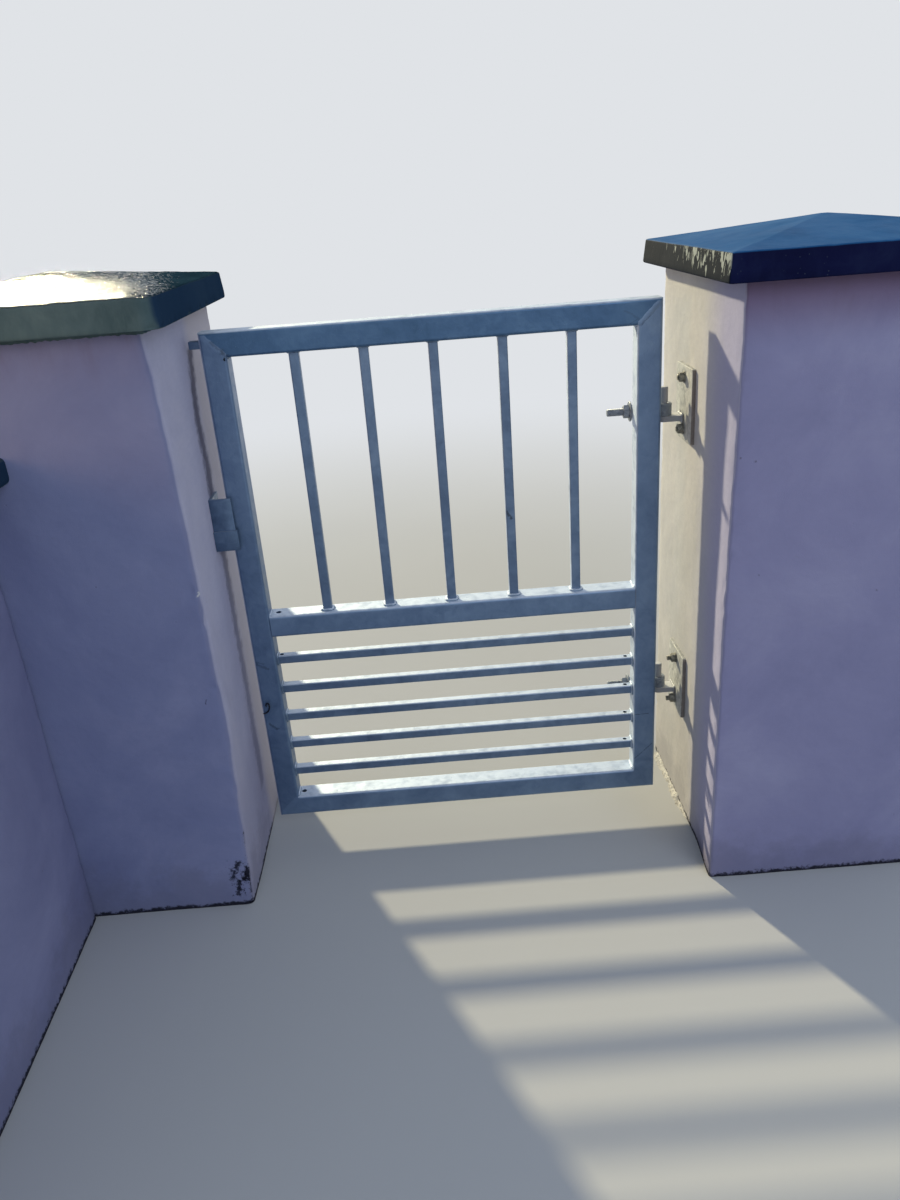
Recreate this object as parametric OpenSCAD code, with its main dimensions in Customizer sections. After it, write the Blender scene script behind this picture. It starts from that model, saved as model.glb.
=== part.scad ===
// Galvanised pedestrian gate, hung on two rendered masonry piers with pyramid caps,
// and the start of the lower garden wall that meets the left pier.
// The front is towards -Y, the yard side towards +Y, and Z is up from the ground.

/* [Gate leaf] */
// Width of the leaf over its two stiles
gate_w = 910; // [700:1:1200]
// Height of the leaf
gate_h = 1138; // [900:1:1500]
// Side of the square hollow section of the frame
member = 50; // [40:1:60]
// Wall thickness of the frame section
member_wall = 3; // [2:0.5:5]
// Outer corner radius of the frame section
member_r = 6; // [4:0.5:8]
// Side of the square hollow section of the infill bars
bar = 20; // [16:1:30]
// Wall thickness of the infill bars
bar_wall = 2; // [1.5:0.5:3]
// Outer corner radius of the infill bars
bar_r = 3; // [2:0.5:4]
// Top of the middle rail above the underside of the leaf
mid_rail_top = 527; // [450:1:650]
// Diameter of the vent holes in the rails
rail_vent_d = 12; // [8:1:16]
// Diameter of the vent holes in the bars
bar_vent_d = 9; // [6:1:12]
// Distance of the middle rail's vent from the latch stile
middle_vent_inset = 18; // [12:1:30]
// Distance of the bottom rail's vent from the latch stile
bottom_vent_inset = 12; // [10:1:30]
// Distance of the first cross bar's vent from the latch stile
first_bar_vent_inset = 10; // [8:1:30]
// Distance of the other cross bars' vents from the hinge stile
bar_vent_inset = 16; // [8:1:30]
// Diameter of the vent at the latch stile's upper inner corner
corner_vent_d = 7; // [5:1:12]
// Distance of that vent's centre from the stile's inner side
corner_vent_inset = 4; // [4:0.5:12]
// Distance of that vent's centre under the top rail
corner_vent_drop = 3.5; // [3:0.5:20]
// Width of the slit at the hinge stile's upper inner corner
corner_slit_w = 4; // [3:0.5:6]
// Length of that slit
corner_slit_l = 22; // [12:1:40]
// Lean of that slit from upright, in degrees
corner_slit_lean = 28; // [0:1:45]

/* [Gateway] */
// Gap between the leaf and the ground
ground_gap = 58; // [30:1:120]
// Gap between the latch stile and the left pier
latch_gap = 34; // [30:1:60]
// Gap between the hinge stile and the right pier
hinge_gap = 66; // [60:1:90]

/* [Piers] */
// Width of a pier along the gateway line
pier_w = 470; // [350:1:600]
// Depth of a pier across the gateway line
pier_d = 530; // [400:1:700]
// Gap between the top of the leaf and the underside of the right cap
cap_clearance = 45; // [25:1:200]
// Radius worn on to the rendered arrises
arris_r = 8; // [2:1:25]
// Radius worn on to the left pier's two arrises beside the gate
left_reveal_r = 18; // [2:1:40]
// How far the right pier stands in front of the leaf
pier_front = 272; // [150:1:400]
// How much further back the left pier stands
left_setback = 36; // [0:1:80]

/* [Pier caps] */
// Overhang of a cap all round its pier
cap_overhang = 40; // [20:1:80]
// Height of the right cap's upright edge
cap_edge = 50; // [30:1:90]
// How much further down the left cap's upright edge comes
left_cap_drop = 6; // [0:1:20]
// Radius of the left cap's corners in plan
left_cap_r = 22; // [10:1:40]
// Radius of the right cap's corners in plan
right_cap_r = 6; // [3:1:40]
// Radius of a cap's upper edge
cap_nose = 5; // [2:1:10]
// Rise of the pyramid over that edge
cap_rise = 36; // [15:1:120]
// How much narrower the upright edge is at its top, each side
cap_batter = 4; // [0:0.5:10]
// Side of the flat left at the apex
cap_apex = 12; // [4:1:40]
// Width of the drip groove under the overhang
drip_w = 10; // [6:1:14]
// Depth of the drip groove
drip_depth = 6; // [3:1:12]

/* [Garden wall] */
// Distance of the wall's face from the left reveal
wall_offset = 350; // [250:1:420]
// Thickness of the wall
wall_t = 120; // [100:1:250]
// Height of the wall under its coping
wall_h = 988; // [600:1:1150]
// Length of the wall in front of the left pier
wall_run = 1000; // [600:1:2000]
// Thickness of the coping
coping_t = 50; // [30:1:80]
// Overhang of the coping on each side of the wall
coping_overhang = 65; // [20:1:90]
// Rise of the coping from its edges to its ridge
coping_rise = 14; // [4:1:40]
// Radius of the coping's nose
coping_r = 12; // [4:1:20]

/* [Hinges] */
// Height of the upper eye above the underside of the leaf
upper_eye_h = 906; // [800:1:1000]
// Height of the lower eye above the underside of the leaf
lower_eye_h = 256; // [150:1:400]
// Outer diameter of the eye
eye_od = 32; // [28:1:40]
// Chamfer on the ends of the pin and the shank, and round the eye
end_chamfer = 1.5; // [0.5:0.5:3]
// Height of the eye
eye_h = 26; // [16:1:30]
// Diameter of the hinge pin
pin_d = 16; // [12:1:18]
// Radial running clearance of the pin in the eye
pin_play = 0.075; // [0.02:0.01:0.1]
// Distance of the pin's axis from the hinge stile
pin_offset = 21; // [19:1:24]
// Height of the pin above the tongue
pin_rise = 60; // [45:1:80]
// Gap between the eye and the tongue that it turns on
eye_rest = 0.3; // [0.1:0.1:1]
// Diameter of the threaded shank of the eye bolt
shank_d = 16; // [12:1:18]
// How far the shank stands out of the inner side of the stile
shank_out = 50; // [30:1:80]
// Outer diameter of the barrel welded behind the stile
barrel_od = 26; // [22:1:34]
// Width of the weld that joins the barrel to the stile
barrel_weld = 18; // [10:1:22]
// Diameter of the collar between the eye and the barrel
collar_d = 22; // [18:1:26]
// Radial clearance of a shank or anchor in its hole
hole_play = 0.5; // [0.1:0.1:1]
// Outer diameter of the washer behind the nut
washer_od = 42; // [30:1:44]
// Thickness of that washer
washer_t = 3; // [2:0.5:4]

/* [Hinge plates] */
// Width of a wall plate across the gateway line
plate_w = 118; // [80:1:160]
// Height of a wall plate
plate_h = 155; // [120:1:200]
// Thickness of a wall plate
plate_t = 8; // [6:1:12]
// Radius of a wall plate's corners
plate_r = 6; // [2:1:12]
// Height of the plate's centre above the top of the tongue
plate_lift = 26; // [0:1:40]
// How far the plate's centre stands in front of the pin
plate_shift = 16; // [0:1:20]
// Width of the tongue that holds the pin
tongue_w = 32; // [24:1:36]
// Thickness of the tongue
tongue_t = 12; // [8:1:16]
// Diameter of the wall anchors
anchor_d = 12; // [8:1:12]
// Distance between the two anchors of a plate
anchor_pitch = 108; // [90:1:120]
// How deep an anchor is set in the masonry
anchor_depth = 70; // [50:1:120]
// How far the lower plate's studs stand out of their nuts
lower_anchor_end = 9; // [2:1:12]
// How far the upper plate's studs stand out of their nuts
upper_anchor_end = 3; // [2:1:12]

/* [Keeper and stop] */
// Height of the keeper's underside above the underside of the leaf
keeper_h0 = 694; // [500:1:800]
// Height of the keeper
keeper_h = 112; // [60:1:160]
// Height of the thicker pad at the keeper's foot
pad_h = 43; // [20:1:60]
// Thickness of the keeper's plate
keeper_t = 6; // [4:1:10]
// Extra thickness of the pad
pad_t = 5; // [2:1:8]
// How far the keeper's lip laps over the latch stile
keeper_lap = 12; // [8:1:20]
// How much wider the pad is
pad_lap = 4; // [0:1:8]
// Depth of the keeper's flange on the reveal
keeper_flange = 66; // [40:1:90]
// Gap between the keeper's lip and the stile
keeper_gap = 5; // [5:1:10]
// Diameter of the keeper's two anchors
keeper_anchor_d = 8; // [6:1:10]
// How deep those anchors are set in the masonry
keeper_anchor_depth = 60; // [40:1:90]
// Length of the stop lug beside the latch stile
stop_l = 24; // [12:1:28]
// Height of the stop lug
stop_h = 15; // [8:1:20]
// Distance of the stop lug's top under the top of the leaf
stop_drop = 17; // [10:1:60]

/* [Hidden] */
$fn = 48;
// Thin overlap that makes a cut pass right through a face
cut = 1;
// Bars over and under the middle rail, one piece each
upright_count = 5;
cross_count = 5;
// Nuts and plain washers, as shares of the thread's diameter, and their clearances
hex_across = 1.5;
hex_thick = 0.8;
nut_play = 0.1;
plain_washer_t = 2.5;
plain_washer_across = 2;
anchor_play = 1;
// Where the keeper's anchors sit, as shares of its flange and height
keeper_anchor_back = 0.68;
keeper_anchor_rows = [0.25, 0.75];

// Heights in the gateway
leaf_z0 = ground_gap;
leaf_z1 = ground_gap + gate_h;
pier_h = leaf_z1 + cap_clearance;
left_pier_h = pier_h - left_cap_drop;
mid_z1 = leaf_z0 + mid_rail_top;
mid_z0 = mid_z1 - member;
clear_w = gate_w - 2 * member;
panel_z0 = leaf_z0 + member;
panel_z1 = mid_z0;
upright_z0 = mid_z1;
upright_z1 = leaf_z1 - member;
upright_gap = (clear_w - upright_count * bar) / (upright_count + 1);
cross_gap = (panel_z1 - panel_z0 - cross_count * bar) / (cross_count + 1);
bar_y = (member - bar) / 2;

// Reveals, piers and wall
left_reveal = -latch_gap;
right_reveal = gate_w + hinge_gap;
right_front = -pier_front;
left_front = -pier_front + left_setback;
wall_x1 = left_reveal - wall_offset;
wall_x0 = wall_x1 - wall_t;
wall_y0 = left_front - wall_run;

// Hinge line
pin_x = gate_w + pin_offset;
pin_y = member + barrel_od / 2;
plate_face = right_reveal - plate_t;
eye_heights = [leaf_z0 + lower_eye_h, leaf_z0 + upper_eye_h];
tongue_tops = [for (h = eye_heights) h - eye_h / 2 - eye_rest];
plate_heights = [for (t = tongue_tops) t + plate_lift];
plate_y = pin_y - plate_shift;
plate_anchor_ends = [lower_anchor_end, upper_anchor_end];

// Keeper
keeper_z0 = leaf_z0 + keeper_h0;
keeper_y0 = -keeper_gap - keeper_t;
keeper_anchor_y = keeper_y0 + keeper_flange * keeper_anchor_back;

// The origin is on the ground under the middle of the whole
low_x = min(left_reveal - pier_w - cap_overhang, wall_x0 - coping_overhang);
high_x = right_reveal + pier_w + cap_overhang;
low_y = min(wall_y0, right_front - cap_overhang);
high_y = max(left_front, right_front) + pier_d + cap_overhang;
centre_x = (low_x + high_x) / 2;
centre_y = (low_y + high_y) / 2;

// Moves a piece from the gateway's own measure to the origin on the ground
module placed() {
    translate([-centre_x, -centre_y, 0]) children();
}

// Square with round corners, its low corner at the origin
module round_square(w, d, r) {
    translate([r, 0]) square([w - 2 * r, d]);
    translate([0, r]) square([w, d - 2 * r]);
    for (x = [r, w - r], y = [r, d - r]) translate([x, y]) circle(r);
}

// Outline of a square hollow section
module hollow_square(side, wall, r) {
    difference() {
        round_square(side, side, r);
        translate([wall, wall]) round_square(side - 2 * wall, side - 2 * wall, r - wall / 2);
    }
}

// Upright hollow section
module upright_section(length, side, wall, r) {
    linear_extrude(length) hollow_square(side, wall, r);
}

// Hollow section that runs along X
module cross_section(length, side, wall, r) {
    translate([0, 0, side]) rotate([0, 90, 0]) linear_extrude(length) hollow_square(side, wall, r);
}

// Stile with both ends mitred, standing at X = 0, inner side towards +X
module mitred_stile() {
    difference() {
        translate([0, 0, leaf_z0]) upright_section(gate_h, member, member_wall, member_r);
        // The upper end falls away towards the inner side
        translate([0, -cut, leaf_z1])
            rotate([-90, 0, 0])
                linear_extrude(member + 2 * cut)
                    polygon([[0, 0], [member + cut, member + cut], [member + cut, -cut], [0, -cut]]);
        // The lower end rises towards the inner side
        translate([0, -cut, leaf_z0])
            rotate([-90, 0, 0])
                linear_extrude(member + 2 * cut)
                    polygon([[0, 0], [member + cut, -member - cut], [member + cut, cut], [0, cut]]);
    }
}

// Rail of the frame's full width with both ends mitred; up is +1 for the top rail
module mitred_rail(z0, up) {
    difference() {
        translate([0, 0, z0]) cross_section(gate_w, member, member_wall, member_r);
        for (side = [0, 1])
            translate([side * gate_w, 0, z0 + member / 2])
                mirror([side, 0, 0])
                    mirror([0, 0, up > 0 ? 0 : 1])
                        translate([0, -cut, member / 2])
                            rotate([-90, 0, 0])
                                linear_extrude(member + 2 * cut)
                                    polygon([[0, 0], [member + cut, member + cut],
                                             [-cut, member + cut], [-cut, 0]]);
    }
}

// Vent hole through the upper wall of a section whose top is at z
module vent(x, z, d, wall) {
    translate([x, member / 2, z - wall - cut]) cylinder(h = wall + 2 * cut, d = d);
}

// Hinge stile, with a leaning vent slit in its inner wall under the top rail
module hinge_stile() {
    slit_y = member_r + corner_slit_w / 2 + corner_slit_l / 2 * sin(corner_slit_lean);
    slit_z = leaf_z1 - member - corner_slit_w - corner_slit_l / 2 * cos(corner_slit_lean);
    color("lightsteelblue")
        placed()
            difference() {
                translate([gate_w, 0, 0]) mirror([1, 0, 0]) mitred_stile();
                translate([gate_w - member - cut, slit_y, slit_z])
                    rotate([-corner_slit_lean, 0, 0])
                        translate([0, -corner_slit_w / 2, -corner_slit_l / 2])
                            cube([member_wall + 2 * cut, corner_slit_w, corner_slit_l]);
            }
}

// Latch stile, with a round vent in its front wall beside the mitre's inner corner
module latch_stile() {
    color("lightsteelblue")
        placed()
            difference() {
                mitred_stile();
                translate([member - corner_vent_inset, -cut, leaf_z1 - member - corner_vent_drop])
                    rotate([-90, 0, 0])
                        cylinder(h = member_wall + 2 * cut, d = corner_vent_d);
            }
}

module top_rail() {
    color("lightsteelblue") placed() mitred_rail(leaf_z1 - member, 1);
}

module middle_rail() {
    color("lightsteelblue")
        placed()
            difference() {
                translate([member, 0, mid_z0]) cross_section(clear_w, member, member_wall, member_r);
                vent(member + middle_vent_inset, mid_z1, rail_vent_d, member_wall);
            }
}

module bottom_rail() {
    color("lightsteelblue")
        placed()
            difference() {
                mitred_rail(leaf_z0, -1);
                vent(member + bottom_vent_inset, leaf_z0 + member, rail_vent_d, member_wall);
            }
}

// Upright bar, counted from the latch side
module upright_bar(i) {
    color("steelblue")
        placed()
            translate([member + upright_gap + (i - 1) * (bar + upright_gap), bar_y, upright_z0])
                upright_section(upright_z1 - upright_z0, bar, bar_wall, bar_r);
}

// Cross bar, counted from the top; the first is vented at the latch end, the rest at the hinge end
module cross_bar(i) {
    z0 = panel_z1 - i * (bar + cross_gap);
    vent_x = i == 1 ? member + first_bar_vent_inset : gate_w - member - bar_vent_inset;
    color("steelblue")
        placed()
            difference() {
                translate([member, bar_y, z0]) cross_section(clear_w, bar, bar_wall, bar_r);
                vent(vent_x, z0 + bar, bar_vent_d, bar_wall);
            }
}

// Barrel welded behind the hinge stile, bored for the shank
module hinge_barrel(i) {
    color("lightsteelblue")
        placed()
            translate([gate_w - member, pin_y, eye_heights[i]])
                difference() {
                    union() {
                        rotate([0, 90, 0]) cylinder(h = member, d = barrel_od);
                        translate([0, -barrel_od / 2, -barrel_weld / 2])
                            cube([member, barrel_od / 2, barrel_weld]);
                    }
                    translate([-cut, 0, 0])
                        rotate([0, 90, 0])
                            cylinder(h = member + 2 * cut, d = shank_d + 2 * hole_play);
                }
}

// Rod along Z from the origin, chamfered at its far end
module chamfered_rod(h, d) {
    cylinder(h = h - end_chamfer, d = d);
    translate([0, 0, h - end_chamfer]) cylinder(h = end_chamfer, d1 = d, d2 = d - 2 * end_chamfer);
}

// Eye of the bolt before it is bored, chamfered round both faces
module eye_blank() {
    r = eye_od / 2;
    c = end_chamfer;
    rotate_extrude()
        polygon([[0, -eye_h / 2], [r - c, -eye_h / 2], [r, -eye_h / 2 + c],
                 [r, eye_h / 2 - c], [r - c, eye_h / 2], [0, eye_h / 2]]);
}

// Eye on the pin, with a collar against the barrel and a threaded shank through it
module eye_bolt(i) {
    shank_l = pin_offset + member + shank_out;
    color("slategray")
        placed()
            translate([pin_x, pin_y, eye_heights[i]])
                difference() {
                    union() {
                        eye_blank();
                        rotate([0, -90, 0]) cylinder(h = pin_offset, d = collar_d);
                        rotate([0, -90, 0]) chamfered_rod(shank_l, shank_d);
                    }
                    translate([0, 0, -eye_h])
                        cylinder(h = 2 * eye_h, d = pin_d + 2 * pin_play);
                }
}

// Washer against the inner end of the barrel
module eye_washer(i) {
    color("silver")
        placed()
            translate([gate_w - member - washer_t, pin_y, eye_heights[i]])
                rotate([0, 90, 0])
                    difference() {
                        cylinder(h = washer_t, d = washer_od);
                        translate([0, 0, -cut])
                            cylinder(h = washer_t + 2 * cut, d = shank_d + 2 * hole_play);
                    }
}

// Hexagon nut, bored through, standing on Z = 0
module hex_nut(thread, bore) {
    difference() {
        cylinder(h = thread * hex_thick, d = thread * hex_across * 2 / sqrt(3), $fn = 6);
        translate([0, 0, -cut]) cylinder(h = thread * hex_thick + 2 * cut, d = bore);
    }
}

module eye_nut(i) {
    color("slategray")
        placed()
            translate([gate_w - member - washer_t - shank_d * hex_thick, pin_y, eye_heights[i]])
                rotate([0, 90, 0])
                    hex_nut(shank_d, shank_d + 2 * nut_play);
}

// Wall plate with the tongue and the pin welded on
module hinge_plate(i) {
    tongue_z = tongue_tops[i] - tongue_t;
    plate_z = plate_heights[i];
    color("gray")
        placed()
            union() {
                difference() {
                    translate([plate_face, plate_y - plate_w / 2, plate_z - plate_h / 2])
                        rotate([90, 0, 90])
                            linear_extrude(plate_t) round_square(plate_w, plate_h, plate_r);
                    for (s = [-1, 1])
                        translate([plate_face - cut, plate_y, plate_z + s * anchor_pitch / 2])
                            rotate([0, 90, 0])
                                cylinder(h = plate_t + 2 * cut, d = anchor_d + 2 * anchor_play);
                }
                translate([pin_x, pin_y - tongue_w / 2, tongue_z])
                    cube([plate_face - pin_x + cut, tongue_w, tongue_t]);
                translate([pin_x, pin_y, tongue_z])
                    cylinder(h = tongue_t, d = tongue_w);
                translate([pin_x, pin_y, tongue_z])
                    chamfered_rod(tongue_t + pin_rise, pin_d);
            }
}

// Anchor on the right reveal: stud, washer and nut as one solid, axis along X
module wall_anchor(thread, depth, seat, end) {
    nut_t = thread * hex_thick;
    rotate([0, 90, 0]) {
        translate([0, 0, -seat - plain_washer_t - nut_t - end])
            cylinder(h = depth + seat + plain_washer_t + nut_t + end, d = thread);
        translate([0, 0, -seat - plain_washer_t])
            cylinder(h = plain_washer_t, d = thread * plain_washer_across);
        translate([0, 0, -seat - plain_washer_t - nut_t])
            cylinder(h = nut_t, d = thread * hex_across * 2 / sqrt(3), $fn = 6);
    }
}

module plate_anchors(i) {
    color("dimgray")
        placed()
            for (s = [-1, 1])
                translate([right_reveal, plate_y, plate_heights[i] + s * anchor_pitch / 2])
                    wall_anchor(anchor_d, anchor_depth, plate_t, plate_anchor_ends[i]);
}

// Holes for a plate's anchors, in the right pier
module plate_anchor_holes(i) {
    for (s = [-1, 1])
        translate([right_reveal - cut, plate_y, plate_heights[i] + s * anchor_pitch / 2])
            rotate([0, 90, 0])
                cylinder(h = anchor_depth + hole_play + cut, d = anchor_d + 2 * hole_play);
}

// Keeper on the left reveal, with a lip in front of the latch stile and a thicker pad at its foot
module latch_keeper() {
    color("steelblue")
        placed()
            difference() {
                union() {
                    translate([left_reveal, keeper_y0, keeper_z0])
                        cube([keeper_t, keeper_flange, keeper_h]);
                    translate([left_reveal, keeper_y0, keeper_z0])
                        cube([keeper_lap - left_reveal, keeper_t, keeper_h]);
                    translate([left_reveal, keeper_y0 - pad_t, keeper_z0])
                        cube([keeper_lap + pad_lap - left_reveal, keeper_t + pad_t, pad_h]);
                }
                for (s = keeper_anchor_rows)
                    translate([left_reveal - cut, keeper_anchor_y, keeper_z0 + s * keeper_h])
                        rotate([0, 90, 0])
                            cylinder(h = keeper_t + 2 * cut, d = keeper_anchor_d + 2 * hole_play);
            }
}

module keeper_anchors() {
    color("dimgray")
        placed()
            for (s = keeper_anchor_rows)
                translate([left_reveal, keeper_anchor_y, keeper_z0 + s * keeper_h])
                    mirror([1, 0, 0])
                        wall_anchor(keeper_anchor_d, keeper_anchor_depth, keeper_t, 0);
}

module keeper_anchor_holes() {
    for (s = keeper_anchor_rows)
        translate([left_reveal + cut, keeper_anchor_y, keeper_z0 + s * keeper_h])
            rotate([0, -90, 0])
                cylinder(h = keeper_anchor_depth + hole_play + cut, d = keeper_anchor_d + 2 * hole_play);
}

// Lug on the outer side of the latch stile
module stop_lug() {
    color("steelblue")
        placed()
            translate([-stop_l, bar_y, leaf_z1 - stop_drop - stop_h])
                cube([stop_l, bar, stop_h]);
}

// Rendered pier, its low front corner at the origin; gate_r is worn on to its arrises towards +X
module pier(h, gate_r) {
    half = pier_w / 2;
    linear_extrude(h) {
        round_square(half + arris_r, pier_d, arris_r);
        translate([half - gate_r, 0]) round_square(half + gate_r, pier_d, gate_r);
    }
}

module left_pier() {
    color("gainsboro")
        placed()
            difference() {
                translate([left_reveal - pier_w, left_front, 0]) pier(left_pier_h, left_reveal_r);
                keeper_anchor_holes();
            }
}

module right_pier() {
    color("gainsboro")
        placed()
            difference() {
                translate([right_reveal, right_front, 0]) pier(pier_h, arris_r);
                for (i = [0, 1]) plate_anchor_holes(i);
            }
}

// Thin level slice of a cap, drawn in from its widest outline
module cap_slice(w, d, corner_r, inset, z) {
    translate([inset, inset, z])
        linear_extrude(cut)
            round_square(w - 2 * inset, d - 2 * inset, max(corner_r - inset, cut));
}

// Cap with upright edges under a round nose, a low pyramid and a drip groove under the overhang
module cap(edge, corner_r) {
    $fn = 32;
    w = pier_w + 2 * cap_overhang;
    d = pier_d + 2 * cap_overhang;
    groove = cap_overhang / 2 - drip_w / 2;
    difference() {
        hull() {
            cap_slice(w, d, corner_r, 0, 0);
            for (a = [0:30:90])
                cap_slice(w, d, corner_r, cap_batter + cap_nose * (1 - cos(a)),
                          edge - cut - cap_nose * (1 - sin(a)));
            translate([(w - cap_apex) / 2, (d - cap_apex) / 2, edge + cap_rise - cut])
                cube([cap_apex, cap_apex, cut]);
        }
        translate([0, 0, -cut])
            linear_extrude(drip_depth + cut)
                difference() {
                    translate([groove, groove]) square([w - 2 * groove, d - 2 * groove]);
                    translate([groove + drip_w, groove + drip_w])
                        square([w - 2 * groove - 2 * drip_w, d - 2 * groove - 2 * drip_w]);
                }
    }
}

module left_pier_cap() {
    color("darkslategray")
        placed()
            translate([left_reveal - pier_w - cap_overhang, left_front - cap_overhang, left_pier_h])
                cap(cap_edge + left_cap_drop, left_cap_r);
}

module right_pier_cap() {
    color("darkslategray")
        placed()
            translate([right_reveal - cap_overhang, right_front - cap_overhang, pier_h])
                cap(cap_edge, right_cap_r);
}

module garden_wall() {
    color("gainsboro")
        placed()
            translate([wall_x0, wall_y0, 0])
                cube([wall_t, wall_run, wall_h]);
}

// Outline of the coping: low ridge, round nose and a drip groove on each side
module coping_outline() {
    w = wall_t + 2 * coping_overhang;
    groove = coping_overhang / 2 - drip_w / 2;
    difference() {
        union() {
            translate([0, coping_r]) square([w, coping_t - 2 * coping_r]);
            for (x = [coping_r, w - coping_r], y = [coping_r, coping_t - coping_r])
                translate([x, y]) circle(coping_r);
            polygon([[coping_r, 0], [w - coping_r, 0], [w - coping_r, coping_t],
                     [w / 2, coping_t + coping_rise], [coping_r, coping_t]]);
        }
        for (x = [groove, w - groove - drip_w]) translate([x, -cut]) square([drip_w, drip_depth + cut]);
    }
}

// Coping along the wall, from the pier to the wall's end
module garden_wall_coping() {
    color("darkslategray")
        placed()
            translate([wall_x0 - coping_overhang, left_front, wall_h])
                rotate([90, 0, 0])
                    linear_extrude(wall_run)
                        coping_outline();
}

left_pier();
right_pier();
left_pier_cap();
right_pier_cap();
garden_wall();
garden_wall_coping();
hinge_plate(1);  // upper_hinge_plate
hinge_plate(0);  // lower_hinge_plate
plate_anchors(1);  // upper_plate_anchors
plate_anchors(0);  // lower_plate_anchors
latch_keeper();
keeper_anchors();
hinge_stile();
latch_stile();
top_rail();
middle_rail();
bottom_rail();
upright_bar(1);  // upright_bar_1
upright_bar(2);  // upright_bar_2
upright_bar(3);  // upright_bar_3
upright_bar(4);  // upright_bar_4
upright_bar(5);  // upright_bar_5
cross_bar(1);  // cross_bar_1
cross_bar(2);  // cross_bar_2
cross_bar(3);  // cross_bar_3
cross_bar(4);  // cross_bar_4
cross_bar(5);  // cross_bar_5
hinge_barrel(1);  // upper_hinge_barrel
hinge_barrel(0);  // lower_hinge_barrel
eye_bolt(1);  // upper_eye_bolt
eye_bolt(0);  // lower_eye_bolt
eye_washer(1);  // upper_eye_washer
eye_washer(0);  // lower_eye_washer
eye_nut(1);  // upper_eye_nut
eye_nut(0);  // lower_eye_nut
stop_lug();
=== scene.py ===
from math import cos, hypot, pi, radians, sin, sqrt, tan

import bmesh
import bpy
from mathutils import Matrix, Vector, noise


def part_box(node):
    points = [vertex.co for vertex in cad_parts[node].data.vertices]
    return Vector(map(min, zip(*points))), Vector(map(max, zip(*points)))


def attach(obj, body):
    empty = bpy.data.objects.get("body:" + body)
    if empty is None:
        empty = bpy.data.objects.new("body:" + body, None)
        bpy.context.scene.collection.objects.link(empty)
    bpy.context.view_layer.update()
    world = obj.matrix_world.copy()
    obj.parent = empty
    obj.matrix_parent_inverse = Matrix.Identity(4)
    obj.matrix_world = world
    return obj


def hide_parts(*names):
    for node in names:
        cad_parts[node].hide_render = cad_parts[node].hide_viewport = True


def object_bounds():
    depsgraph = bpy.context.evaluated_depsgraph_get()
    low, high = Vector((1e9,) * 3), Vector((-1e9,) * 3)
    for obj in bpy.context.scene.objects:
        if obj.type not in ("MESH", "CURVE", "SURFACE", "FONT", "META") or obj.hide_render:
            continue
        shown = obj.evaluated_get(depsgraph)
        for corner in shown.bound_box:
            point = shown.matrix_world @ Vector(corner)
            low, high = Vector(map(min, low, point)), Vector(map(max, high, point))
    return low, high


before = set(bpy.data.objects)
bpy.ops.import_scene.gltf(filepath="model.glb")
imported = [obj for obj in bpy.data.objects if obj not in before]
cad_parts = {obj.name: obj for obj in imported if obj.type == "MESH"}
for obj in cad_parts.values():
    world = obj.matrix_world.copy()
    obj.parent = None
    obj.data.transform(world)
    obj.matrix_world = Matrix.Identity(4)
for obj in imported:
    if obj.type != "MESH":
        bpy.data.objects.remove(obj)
cad_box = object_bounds()
BOX = {name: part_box(name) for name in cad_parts}
MM = 0.001
GATEWAY = "gateway"
LEAF = "gate"
X, Y, Z = Vector((1, 0, 0)), Vector((0, 1, 0)), Vector((0, 0, 1))

# Planes that the pieces are laid out from
(leaf_x0, leaf_y0, leaf_z0), (_, leaf_y1, leaf_z1) = BOX["latch_stile"]
leaf_x1 = BOX["hinge_stile"][1].x
member = leaf_y1 - leaf_y0
left_reveal = BOX["left_pier"][1].x
right_reveal = BOX["right_pier"][0].x
left_top = BOX["left_pier"][1].z
right_top = BOX["right_pier"][1].z


# Finishes

def linear(tint):
    """A colour given as it shows on a screen, 0 to 255, as the linear one that shaders take."""
    levels = [c / 255 for c in tint]
    return tuple(c / 12.92 if c <= 0.04045 else ((c + 0.055) / 1.055) ** 2.4 for c in levels) + (1.0,)


class Graph:
    """Shader nodes of a material or a world."""

    def __init__(self, tree):
        self.tree = tree

    def add(self, kind, inputs=None, **settings):
        node = self.tree.nodes.new("ShaderNode" + kind)
        for name, value in settings.items():
            setattr(node, name, value)
        for name, value in (inputs or {}).items():
            if isinstance(value, bpy.types.NodeSocket):
                self.tree.links.new(value, node.inputs[name])
            else:
                node.inputs[name].default_value = value
        return node

    def maths(self, operation, a, b=0.0):
        return self.add("Math", {0: a, 1: b}, operation=operation).outputs[0]

    def seen_directly(self):
        """1 for rays that show a surface, and 0 for those that only light it."""
        rays = self.add("LightPath").outputs
        share = rays["Is Camera Ray"]
        for kind in ("Is Glossy Ray", "Is Transmission Ray"):
            share = self.maths("MAXIMUM", share, rays[kind])
        return share


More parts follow.
